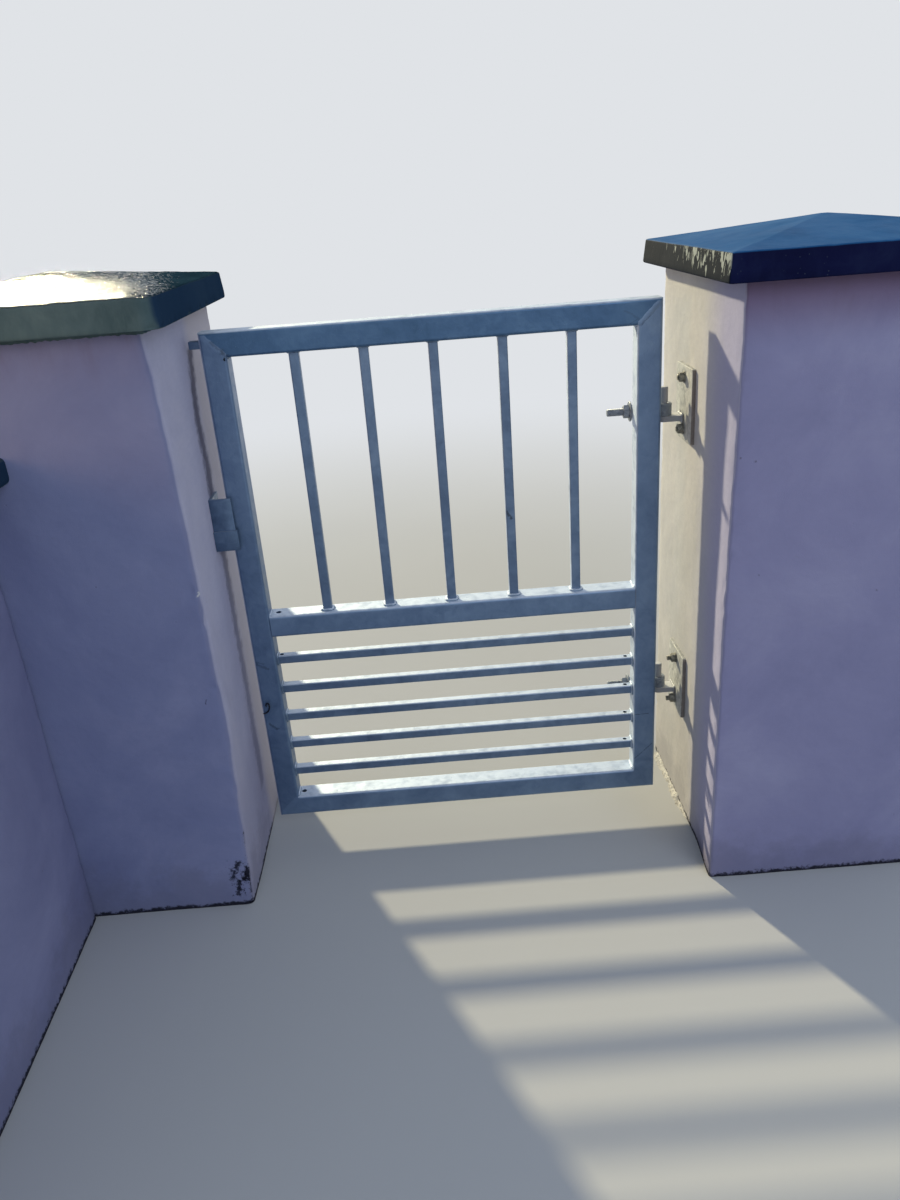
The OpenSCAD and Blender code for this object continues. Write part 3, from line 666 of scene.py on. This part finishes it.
def chipped(place, corners, seed):
    """Dents knocked out of the upright arrises."""
    nearest = min(hypot(place.x - x, place.y - y) for x, y in corners)
    close = 1 - ease(nearest, 0.006, 0.024)
    knock = ease(lumps(place, 0.016, seed) + 0.35 * lumps(place, 0.12, seed + 3), 0.48, 0.85)
    ragged = abs(lumps(place, 0.05, seed + 5)) + 0.7 * abs(lumps(place, 0.014, seed + 6))
    return -0.004 * close * knock - 0.0021 * close * ragged


def masonry(node, finish, seed, bend=None, arris=ARRIS):
    """Rendered block in the place of its node; bend(place) is a shift along X."""
    low, high = BOX[node]
    corners = [(x, y) for x in (low.x, high.x) for y in (low.y, high.y)]
    cells_x, cells_y, cells_z = (round(length / CELL) for length in high - low)
    shape = Shape()
    shape.loft([plan_ring(low, high, low.z + (high.z - low.z) * i / cells_z, arris, cells_x, cells_y)
                for i in range(cells_z + 1)])
    if bend:
        shape.points = [p + X * bend(p) for p in shape.points]

    def depth(place, normal):
        if abs(normal.z) > 0.9:
            return 0.0
        return min(trowelled(place, seed) + chipped(place, corners, seed), 0.001)

    shape.piece(node + "_rendered", finish, GATEWAY, "render", node, sharp=35, depth=depth)


def bent_arris(pier, reveal, line):
    """Shift along X of a pier's front arris next to the gate; the line's points are (height, shift)."""
    front = BOX[pier][0].y
    middle = (BOX[pier][0].x + BOX[pier][1].x) / 2

    def bend(place):
        if (place.x - middle) * (reveal - middle) <= 0:
            return 0.0
        shift = line[-1][1]
        for (z0, a), (z1, b) in zip(line, line[1:]):
            if place.z <= z1:
                shift = a + (b - a) * ease(place.z, z0, z1)
                break
        towards_front = 1 - ease(place.y, front, front + 0.15)
        towards_gate = ease(abs(place.x - middle), abs(reveal - middle) - 0.16, abs(reveal - middle))
        return shift * towards_front * towards_gate

    return bend


LEFT_LINE = ((0.0, -0.002), (0.1, 0.003), (0.21, 0.007), (0.33, 0.011), (0.46, 0.016), (0.6, 0.012),
             (0.8, 0.011), (1.0, 0.008), (1.12, 0.004), (1.24, -0.004))
RIGHT_LINE = ((0.0, -0.009), (0.3, -0.008), (0.6, -0.007), (0.8, -0.0045), (1.0, -0.001), (1.12, 0.0015),
              (1.24, 0.001))
masonry("left_pier", LEFT_RENDER, 1, bent_arris("left_pier", left_reveal, LEFT_LINE), LEFT_ARRIS)
masonry("right_pier", RIGHT_RENDER, 2, bent_arris("right_pier", right_reveal, RIGHT_LINE))
masonry("garden_wall", GARDEN_RENDER, 3)


def cap(side, finish, corner, seed, cell=0.011, grit=0.0, bites=0.0):
    """Pier cap: drip groove, round edges, and a low pyramid.

    grit roughens its top, and bites are taken out of its lower edge by the gate.
    """
    low, high = BOX[side + "_pier_cap"]
    rise, batter, nose, groove_w, groove_d, apex = 0.036, 0.004, 0.005, 0.010, 0.006, 0.014
    sharpest = 0.0015
    z0, z1 = low.z, high.z - rise
    edge = z1 - z0
    overhang = BOX[side + "_pier"][0].x - low.x
    groove = (overhang - groove_w) / 2
    along_x = round((high.x - low.x) / cell)
    along_y = round((high.y - low.y) / cell)

    def ring(inset, z, radius):
        return plan_ring(low, high, z, max(radius, sharpest), along_x, along_y, inset)

    rings = [ring(inset, z, corner / 3)
             for inset, z in ((overhang * 1.4, z0), (groove + groove_w, z0),
                              (groove + groove_w - 0.001, z0 + groove_d), (groove + 0.001, z0 + groove_d),
                              (groove, z0))]
    quarter = [pi / 2 * i / 4 for i in range(5)]
    rings += [ring(nose * (1 - sin(turn)), z0 + nose * (1 - cos(turn)), corner) for turn in quarter]
    rings += [ring(batter * i / 5, z0 + nose + (edge - 2 * nose) * i / 5, corner) for i in range(1, 5)]
    rings += [ring(batter + nose * (1 - cos(turn)), z1 - nose + nose * sin(turn), corner)
              for turn in quarter]
    middle = (low + high) / 2
    half_x, half_y = (length / 2 - batter - nose for length in (high.x - low.x, high.y - low.y))
    slopes = round((high.x - low.x) / 2 / cell)
    for i in range(1, slopes + 1):
        t = i / slopes
        reach_x = half_x + (apex / 2 - half_x) * t
        reach_y = half_y + (apex / 2 - half_y) * t
        plan = round_plan(middle.x - reach_x, middle.y - reach_y, middle.x + reach_x, middle.y + reach_y,
                          max(corner * (1 - t), sharpest), along_x, along_y)
        rings.append([Vector((x, y, z1 + (high.z - z1) * t)) for x, y in plan])
    shape = Shape()
    shape.loft(rings)

    def depth(place, normal):
        if normal.z < -0.5:
            return 0.0
        chip = ease(layers(place, seed, (1, 0.02), (0.3, 0.15)), 0.5, 0.8)
        on_edge = 1 - ease(abs(place.z - z1), 0.004, 0.012)
        sand = grit * (layers(place, seed + 2, (1, 0.011), (0.8, 0.025)) - 0.6)
        by_gate = ease(place.x, high.x - 0.05, high.x - 0.02) * (1 - ease(place.z, z0 + 0.004, z0 + 0.012))
        bite = bites * by_gate * ease(lumps(place, 0.014, seed + 4), -0.1, 0.4)
        return min(layers(place, seed, (0.0012, 0.19), (0.0005, 0.05))
                   - 0.0022 * chip * on_edge - bite - 0.0005 + sand * ease(normal.z, 0.2, 0.9), 0.0)

    shape.piece(side + "_cap_painted", finish, GATEWAY, "painted_concrete", side + "_pier_cap",
                sharp=50, depth=depth)


cap("left", LEFT_CAP, 0.034, 11, cell=0.0055, grit=0.0008, bites=0.004)
cap("right", RIGHT_CAP, 0.005, 12)


def coping():
    """Coping of the garden wall: low ridge, round noses, two drip grooves."""
    low, high = BOX["garden_wall_coping"]
    nose, rise, groove_w, groove_d = 0.012, 0.014, 0.010, 0.006
    width = high.x - low.x
    thick = high.z - low.z - rise
    groove = (BOX["garden_wall"][0].x - low.x - groove_w) / 2
    outline = []
    for x in (groove, width - groove - groove_w):
        outline += [(x, 0), (x + 0.001, groove_d), (x + groove_w - 0.001, groove_d), (x + groove_w, 0)]
    outline += arc(width - nose, nose, nose, range(-90, 1, 15))
    outline += arc(width - nose, thick - nose, nose, range(0, 91, 15))
    slope = 12
    outline += [(width - nose - (width - 2 * nose) * i / slope,
                 thick + rise * (1 - abs(1 - 2 * i / slope))) for i in range(1, slope)]
    outline += arc(nose, thick - nose, nose, range(90, 181, 15))
    outline += arc(nose, nose, nose, range(180, 271, 15))
    count = round((high.y - low.y) / CELL)
    shape = Shape()
    shape.loft([[Vector((low.x + x, high.y - (high.y - low.y) * i / count, low.z + z)) for x, z in outline]
                for i in range(count + 1)])

    def depth(place, normal):
        if normal.z < -0.5 or abs(normal.y) > 0.9:
            return 0.0
        return min(layers(place, 21, (0.001, 0.17), (0.0005, 0.05)) - 0.0004, 0.0)

    shape.piece("garden_wall_coping_painted", LEFT_CAP, GATEWAY, "painted_concrete", "garden_wall_coping",
                sharp=50, depth=depth)


coping()


def reveal_pointing():
    """Mortar pointed along the foot of the right reveal."""
    shape = Shape()
    near, far, step = leaf_y0 - 0.062, BOX["right_pier"][1].y - 0.03, 0.0022
    rings = []
    for i in range(int((far - near) / step)):
        y = near + i * step
        taper = ease(y, near, near + 0.09)
        spot = Vector((right_reveal, y, 0))
        reach = 0.004 + taper * (0.009 + layers(spot, 31, (0.006, 0.03), (0.003, 0.009)))
        rise = 0.003 + taper * (0.010 + layers(spot, 33, (0.006, 0.04), (0.003, 0.008)))
        fillet = [(-0.002, 0.0), (-0.002, rise)]
        for k in range(9):
            turn = pi / 2 * k / 8
            fillet.append((reach * (1 - cos(turn)) * 0.8 + reach * 0.2 * k / 8,
                           rise * (1 - sin(turn) * 0.999)))
        rings.append([Vector((right_reveal - out, y, height)) for out, height in fillet])
    shape.loft(rings)
    shape.piece("right_reveal_pointing", MORTAR, GATEWAY, "render",
                depth=lambda p, n: 0.0022 * lumps(p, 0.006, 35) + 0.0034 * abs(lumps(p, 0.013, 36)))


def cap_bedding():
    """Painted bedding that squeezes out under the left cap, rougher on the side of the gate."""
    shape = Shape()
    path = plan_ring(*BOX["left_pier"], left_top - 0.003, ARRIS, 12, 12, inset=0.002)
    shape.bead(path, Z, 0.010, 0.005, loop=True, seed=35, pitch=0.013)

    def depth(place, normal):
        rough = 0.0016 if normal.x > 0.3 else 0.0006
        return rough * layers(place, 36, (1, 0.008), (0.6, 0.02))

    shape.piece("left_cap_bedding", LEFT_CAP, GATEWAY, "painted_concrete", depth=depth)


reveal_pointing()
cap_bedding()


# Hinge hardware

def thread_rings(origin, axis, start, end, radius, pitch, around=24):
    """Rings of a screw thread along an axis, with a chamfered end."""
    side, up = across(axis)
    depth = 0.6 * pitch
    rings_a_turn = 8
    count = round((end - start) / pitch * rings_a_turn)
    rings = []
    for i in range(count + 1):
        along = start + (end - start) * i / count
        chamfer = radius - 1.6 * depth + (end - along) + 0.0002
        phases = [(along / pitch - j / around) % 1.0 for j in range(around)]
        reaches = [min(radius - depth * (1 - abs(2 * phase - 1)), chamfer) for phase in phases]
        rings.append(ring_of(origin + axis * along, side, up, reaches))
    return rings


def hex_rings(origin, axis, start, height, flats, lead):
    """Rings of a hexagon nut with both faces chamfered; lead is one of its corners' directions."""
    around, sixth = 48, pi / 6
    turns = [(2 * pi * j / around + sixth) % (2 * sixth) - sixth for j in range(around)]
    rings = []
    for share in (0.0, 0.03, 0.06, 0.1, 0.15, 0.85, 0.9, 0.94, 0.97, 1.0):
        along = height * share
        cone = 0.475 * flats + min(along, height - along) * sqrt(3)
        reaches = [min(flats / 2 / cos(sixth - abs(turn)), cone) for turn in turns]
        rings.append(ring_of(origin + axis * (start + along), lead, axis.cross(lead), reaches))
    return rings


def washer_profile(start, thick, radius):
    soft = thick * 0.25
    return [(start, radius - soft), (start + soft, radius), (start + thick - soft, radius),
            (start + thick, radius - soft)]


EYE_R = 0.016
EYE_FLATS = 0.024


def eye_bolt(level):
    """Eye bolt with its threaded shank, washer and nut, in the place of their nodes."""

    def fit(shape, part, suffix, sharp=35):
        shape.piece(level + part + suffix, HINGE_STEEL, LEAF, "hinge_steel", level + part, sharp)

    low, high = BOX[level + "_eye_bolt"]
    pin_r, shank_r, collar_r = 0.008, 0.008, 0.011
    thread_pitch, plain = 0.002, 0.02
    centre = Vector((high.x - EYE_R, high.y - EYE_R, (low.z + high.z) / 2))
    half = (high.z - low.z) / 2
    bore = pin_r + 0.0001
    soft = 0.0013
    shape = Shape()
    profile = [(bore + soft, -half), (EYE_R - soft, -half), (EYE_R, -half + soft), (EYE_R, half - soft),
               (EYE_R - soft, half), (bore + soft, half), (bore, half - soft), (bore, -half + soft)]
    rings = []
    for i in range(48):
        turn = 2 * pi * i / 48
        out = X * cos(turn) + Y * sin(turn)
        rings.append([centre + out * r + Z * z for r, z in reversed(profile)])
    shape.loft(rings, loop=True)
    neck = centre.x - leaf_x1
    shape.turned(centre, -X, [(bore + 0.004, collar_r - 0.001), (EYE_R - 0.001, collar_r),
                              (neck - 0.001, collar_r), (neck, collar_r - 0.001)])
    shape.turned(centre, -X, [(neck - 0.002, shank_r - 0.0004), (neck + plain + 0.002, shank_r - 0.0004)], 24)
    shape.loft(thread_rings(centre, -X, neck + plain, centre.x - low.x, shank_r, thread_pitch))
    fillet = [(0.75 * sin(t), t) for t in [2 * pi * k / 40 for k in range(40)]]
    shape.bead([centre + X * (-EYE_R * cos(a) * 0.98) + Y * sin(a) * EYE_R * 0.7
                + Z * cos(b) * 0.0115 for a, b in fillet], -X, 0.004, loop=True, seed=41)
    fit(shape, "_eye_bolt", "_threaded")

    washer = Shape()
    low, high = BOX[level + "_eye_washer"]
    washer.turned(Vector((high.x, centre.y, centre.z)), -X,
                  washer_profile(0, high.x - low.x, (high.z - low.z) / 2), 40)
    fit(washer, "_eye_washer", "_rounded")

    nut = Shape()
    low, high = BOX[level + "_eye_nut"]
    corners = Z if high.z - low.z > EYE_FLATS * 1.05 else Y
    nut.loft(hex_rings(Vector((high.x, centre.y, centre.z)), -X, 0, high.x - low.x, EYE_FLATS, corners))
    fit(nut, "_eye_nut", "_chamfered", sharp=24)


def anchors(node, name, face, axis, flats, radius, nut_t, pitch=None):
    """Wall anchors on a plate's face, in the place of their node; those with a pitch show the stud's end.

    axis points out of the wall.
    """
    low, high = BOX[node]
    washer_t, tail, root = 0.0025, 0.02, radius * 0.96
    shape = Shape()
    for z in (low.z + radius * 2, high.z - radius * 2):
        seat = Vector((face, (low.y + high.y) / 2, z))
        shape.turned(seat, axis, washer_profile(0, washer_t, radius * 2), 36)
        shape.loft(hex_rings(seat, axis, washer_t, nut_t, flats, Y))
        if pitch:
            shape.loft(thread_rings(seat, axis, washer_t + nut_t * 0.8, seat.x - low.x, radius, pitch, 20))
        shape.turned(seat, -axis, [(-0.001, root), (tail, root)], 20)
    shape.piece(name, ANCHOR_STEEL, GATEWAY, "hinge_steel", node, sharp=24)


for level in ("upper", "lower"):
    eye_bolt(level)
for level in ("upper", "lower"):
    anchors(level + "_plate_anchors", level + "_anchors_threaded", right_reveal - PLATE_T, -X,
            flats=0.018, radius=0.006, nut_t=0.0096, pitch=0.00175)
anchors("keeper_anchors", "keeper_anchors_chamfered", left_reveal + KEEPER_T, X,
        flats=0.012, radius=0.004, nut_t=0.0064)


def soften(node, finish, body, width):
    """Copy of a node with its edges rounded, in the place of the node."""
    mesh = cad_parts[node].data.copy()
    work = bmesh.new()
    work.from_mesh(mesh)
    bmesh.ops.remove_doubles(work, verts=work.verts, dist=1e-5)
    bmesh.ops.dissolve_limit(work, angle_limit=radians(1), verts=work.verts, edges=work.edges)
    hard = [e for e in work.edges if len(e.link_faces) == 2 and e.calc_face_angle(0) > radians(40)]
    bmesh.ops.bevel(work, geom=hard, offset=width, segments=3, profile=0.5, affect="EDGES",
                    clamp_overlap=True)
    work.to_mesh(mesh)
    work.free()
    if "custom_normal" in mesh.attributes:
        mesh.attributes.remove(mesh.attributes["custom_normal"])
    dress(mesh, node + "_zinc", finish, body, node, sharp=50)


soften("upper_hinge_plate", PLATE_ZINC, GATEWAY, 0.0012)
soften("lower_hinge_plate", PLATE_ZINC, GATEWAY, 0.0012)
soften("latch_keeper", KEEPER_ZINC, GATEWAY, 0.0024)
soften("stop_lug", KEEPER_ZINC, LEAF, 0.001)


# Welds and the marks of the zinc bath

def leaf_welds():
    """Fillets round the ends of every bar and rail, and the mitres of the frame."""
    off, flat, sunk = 0.0006, 0.42, 0.001
    bars = Shape()
    for i in range(1, 6):
        low, high = BOX[f"upright_bar_{i}"]
        middle = (low + high) / 2
        half = (high.x - low.x) / 2 + off
        for z, width in ((low.z + 0.0008, 0.0082), (high.z - off, 0.0058)):
            bars.bead_round(Vector((middle.x, middle.y, z)), half, half, X, Y, width, width * flat, 50 + i)
        low, high = BOX[f"cross_bar_{i}"]
        middle = (low + high) / 2
        half = (high.z - low.z) / 2 + off
        for x, width in ((low.x + off, 0.0062), (high.x - off, 0.0074)):
            bars.bead_round(Vector((x, middle.y, middle.z)), half, half, Y, Z, width, width * flat, 60 + i)
    bars.piece("infill_bar_welds", WELD_ZINC, LEAF, "galvanised_steel")

    frame_welds = Shape()
    mitres = Shape()
    low, high = BOX["middle_rail"]
    for x in (low.x - off, high.x + off):
        for z, way in ((high.z - sunk, 1), (low.z + sunk, -1)):
            path = [Vector((x, y, z)) for y in (low.y + 0.004, high.y - 0.004)]
            frame_welds.bead(path, Z * way, 0.0085, 0.0036, seed=71)
    for x, side in ((leaf_x0, 1), (leaf_x1, -1)):
        for z, way in ((leaf_z1, -1), (leaf_z0, 1)):
            outer = Vector((x + side * 0.006, 0, z + way * 0.006))
            inner = Vector((x + side * (member - sunk), 0, z + way * (member - sunk)))
            raised = 0.0008 if side < 0 and way < 0 else 0.00025
            for y, up in ((leaf_y0, -Y), (leaf_y1, Y)):
                path = [Vector((p.x, y, p.z)) for p in (outer, inner)]
                mitres.bead(path, up, 0.011, raised, seed=72)
            inwards = Vector((side, 0, way))
            corner = inner + inwards * 0.0014
            path = [Vector((corner.x, y, corner.z)) for y in (leaf_y0 + 0.005, leaf_y1 - 0.005)]
            frame_welds.bead(path, inwards.normalized(), 0.0074, 0.003, seed=73)
    frame_welds.piece("frame_welds", WELD_ZINC, LEAF, "galvanised_steel")
    mitres.piece("mitre_welds", ZINC, LEAF, "galvanised_steel")


def hinge_welds():
    """Fillets of the barrels on the stile, of the tongues on their plates, and of the stop lug."""
    leaf = Shape()
    foot = 0.0098
    for level in ("upper", "lower"):
        low, high = BOX[level + "_hinge_barrel"]
        middle = (low.z + high.z) / 2
        for way in (-1, 1):
            z = middle + way * foot
            path = [Vector((x, leaf_y1 + 0.001, z)) for x in (low.x + 0.002, high.x - 0.002)]
            leaf.bead(path, (Y + Z * way).normalized(), 0.007, 0.003, seed=81)
    low, high = BOX["stop_lug"]
    middle = (low + high) / 2
    leaf.bead_round(Vector((high.x - 0.0006, middle.y, middle.z)), (high.y - low.y) / 2, (high.z - low.z) / 2,
                    Y, Z, 0.006, 0.0026, 82, radius=0.002)
    leaf.piece("hinge_barrel_welds", WELD_ZINC, LEAF, "galvanised_steel")
    plates = Shape()
    tongue_half, tongue_t, eye_rest = 0.016, 0.012, 0.0003
    for level in ("upper", "lower"):
        low, high = BOX[level + "_eye_bolt"]
        centre = Vector((right_reveal - PLATE_T - 0.0005, high.y - EYE_R, low.z - eye_rest - tongue_t / 2))
        plates.bead_round(centre, tongue_half, tongue_t / 2, Y, Z, 0.0095, 0.0042, 83, radius=0.002)
    plates.piece("hinge_tongue_welds", PLATE_ZINC, GATEWAY, "hinge_steel")


def zinc_drips():
    """Drips frozen under the rails and specks of dross on their tops."""
    shape = Shape()
    spots = ((0.04, 0.3), (0.11, 0.62), (0.2, 0.4), (0.34, 0.7), (0.52, 0.35), (0.66, 0.55), (0.83, 0.42),
             (0.93, 0.66))
    for i, (x, y) in enumerate(spots):
        place = Vector((leaf_x0 + (leaf_x1 - leaf_x0) * x, leaf_y0 + member * y, leaf_z0 + 0.0004))
        shape.drop(place, 0.003 + 0.0016 * (i % 3), 0.0013 + 0.0004 * (i % 2))
    for i in range(1, 6):
        low, high = BOX[f"cross_bar_{i}"]
        for share in (0.012 + 0.004 * i, 0.31 + 0.09 * (i % 3), 0.982 - 0.003 * i):
            place = Vector((low.x + (high.x - low.x) * share, (low.y + high.y) / 2, low.z + 0.0003))
            shape.drop(place, 0.0028 + 0.0012 * (i % 2), 0.0011)
    shape.piece("zinc_drips", WELD_ZINC, LEAF, "galvanised_steel")
    dross = Shape()
    # Multiples of these, less their whole parts, spread evenly
    even_x, even_y, even_size = 0.6180339, 0.7548777, 0.5698403
    end, rim, least = 0.055, 0.008, 0.0007
    for rail, count in (("top_rail", 26), ("middle_rail", 34), ("bottom_rail", 22)):
        low, high = BOX[rail]
        for i in range(count):
            place = Vector(((i * even_x + 0.13) % 1.0, (i * even_y + 0.37) % 1.0, 0))
            x = low.x + end + (high.x - low.x - 2 * end) * place.x
            y = low.y + rim + (member - 2 * rim) * place.y
            size = least + 0.0008 * (i * even_size % 1.0)
            dross.turned(Vector((x, y, high.z - size * 0.4)), Z,
                         [(0, size * 1.5), (size * 0.45, size * 1.2), (size * 0.8, size * 0.3)], 7)
    dross.piece("zinc_dross", WELD_ZINC, LEAF, "galvanised_steel")


def tie_wire():
    """Twist of the bath's tie wire left on the latch stile's edge."""
    shape = Shape()
    corner = Vector((leaf_x0, leaf_y0, leaf_z0))
    curl = [(0.3, -0.2, 287), (3, -1.3, 287), (7, -2.0, 288), (11, -2.3, 290.5), (15, -2.5, 295),
            (17.6, -2.6, 302), (18, -2.6, 308), (16, -2.5, 313), (12.6, -2.3, 313.5), (10.4, -2.0, 309.5),
            (10.8, -1.4, 304)]
    shape.bead([corner + Vector(place) * MM for place in curl], Vector((0.2, -1, 0.1)).normalized(),
               0.0034, seed=91, pitch=0.004)
    shape.piece("tie_wire", WIRE_STEEL, LEAF, "hinge_steel")


leaf_welds()
hinge_welds()
zinc_drips()
tie_wire()


# Finish of the nodes that are shown as they are

def paint(finish, *nodes):
    for node in nodes:
        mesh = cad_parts[node].data
        mesh.materials.clear()
        mesh.materials.append(finish)


paint(ZINC, "hinge_stile", "middle_rail", "bottom_rail")
paint(LATCH_ZINC, "latch_stile")
paint(TOP_ZINC, "top_rail")
paint(BAR_ZINC, *[f"{kind}_bar_{i}" for kind in ("upright", "cross") for i in range(1, 6)])
paint(KEEPER_ZINC, "upper_hinge_barrel", "lower_hinge_barrel")


# Camera, from the photograph's straight edges; the photograph is 900 by 1200 pixels

PHOTO_HEIGHT = 1200
FOCAL_PIXELS = 918.96
SENSOR = 36.0
CAMERA_PLACE = Vector((-0.0213, -1.4063, 1.3964))
YAW, PITCH, ROLL = 0.40, -23.41, -4.39


def photo_camera():
    data = bpy.data.cameras.new("photo_camera")
    data.sensor_fit = "VERTICAL"
    data.sensor_height = SENSOR
    data.lens = SENSOR * FOCAL_PIXELS / PHOTO_HEIGHT
    camera = place_in_scene("photo_camera", data)
    pose = Matrix.Translation(CAMERA_PLACE)
    for turn, axis in ((-YAW, "Z"), (90 + PITCH, "X"), (ROLL, "Z")):
        pose = pose @ Matrix.Rotation(radians(turn), 4, axis)
    camera.matrix_world = pose
    bpy.context.scene.camera = camera


# Floor, backdrop and lamps

BACKDROP = linear((224, 227, 231))


def lamp(kind, name, way, power, colour, place=(0, 0, 0), **settings):
    """Lamp that shines along way."""
    data = bpy.data.lights.new(name, kind)
    data.energy = power
    data.color = colour
    for setting, value in settings.items():
        setattr(data, setting, value)
    light = place_in_scene(name, data)
    light.location = place
    light.rotation_euler = way.to_track_quat("-Z", "Y").to_euler()


def floor():
    """Pale floor that melts into the backdrop some metres away."""
    reach, melt_from, melt_to = 40, 1.6, 5.5
    f = Finish("studio_floor", specular=0.1)
    f.colour = f.ramp(f.cloud(0.8, detail=2), (0.3, 0.7), ((190, 190, 191), (194, 194, 195)))
    material = f.done(f.patches(3, 0, 1, 0.9, 0.95))
    away = f.add("VectorMath", {0: f.place}, operation="LENGTH").outputs["Value"]
    glow = f.add("Emission", {0: BACKDROP, 1: 1.0})
    share = f.product(f.step(away, melt_from, melt_to), f.seen_directly())
    both = f.add("MixShader", {0: share, 1: f.shader.outputs[0], 2: glow.outputs[0]})
    f.tree.links.new(both.outputs[0], f.tree.nodes["Material Output"].inputs["Surface"])
    mesh = bpy.data.meshes.new("floor")
    mesh.from_pydata([(-reach, -reach, 0), (reach, -reach, 0), (reach, reach, 0), (-reach, reach, 0)],
                     [], [(0, 1, 2, 3)])
    mesh.materials.append(material)
    place_in_scene("floor", mesh)


def surroundings():
    """Even pale backdrop, which lights the object a little less than it shows."""
    world = bpy.data.worlds.new("studio")
    world.use_nodes = True
    bpy.context.scene.world = world
    g = Graph(world.node_tree)
    g.tree.nodes.clear()
    light = g.add("Background", {0: (0.75, 0.86, 1.0, 1), 1: 0.5})
    show = g.add("Background", {0: BACKDROP, 1: 1.0})
    both = g.add("MixShader", {0: g.seen_directly(), 1: light.outputs[0], 2: show.outputs[0]})
    g.add("OutputWorld", {0: both.outputs[0]})


photo_camera()
floor()
surroundings()
# Low light from behind on the left, as in the photograph, a broad soft lamp in front and a faint one aside
azimuth, elevation = radians(27.0), radians(22.0)
away = Vector((sin(azimuth), -cos(azimuth), -tan(elevation))) * cos(elevation)
lamp("SUN", "light_behind", away, 4.5, (1.0, 0.89, 0.57), angle=radians(2.2))
for name, place, target, size, power, colour, spread in (
        ("lamp_front", (2.0, -3.6, 3.2), (0.0, 0.3, 0.7), 2.8, 44, (0.79, 0.88, 1.0), 180),
        ("lamp_side", (-2.0, -0.7, 1.5), (-1.02, 0.2, 1.24), 1.0, 1.1, (1.0, 0.52, 0.16), 50)):
    lamp("AREA", name, Vector(target) - Vector(place), power, colour, place,
         shape="DISK", size=size, spread=radians(spread))
bpy.context.scene.view_settings.view_transform = "Standard"
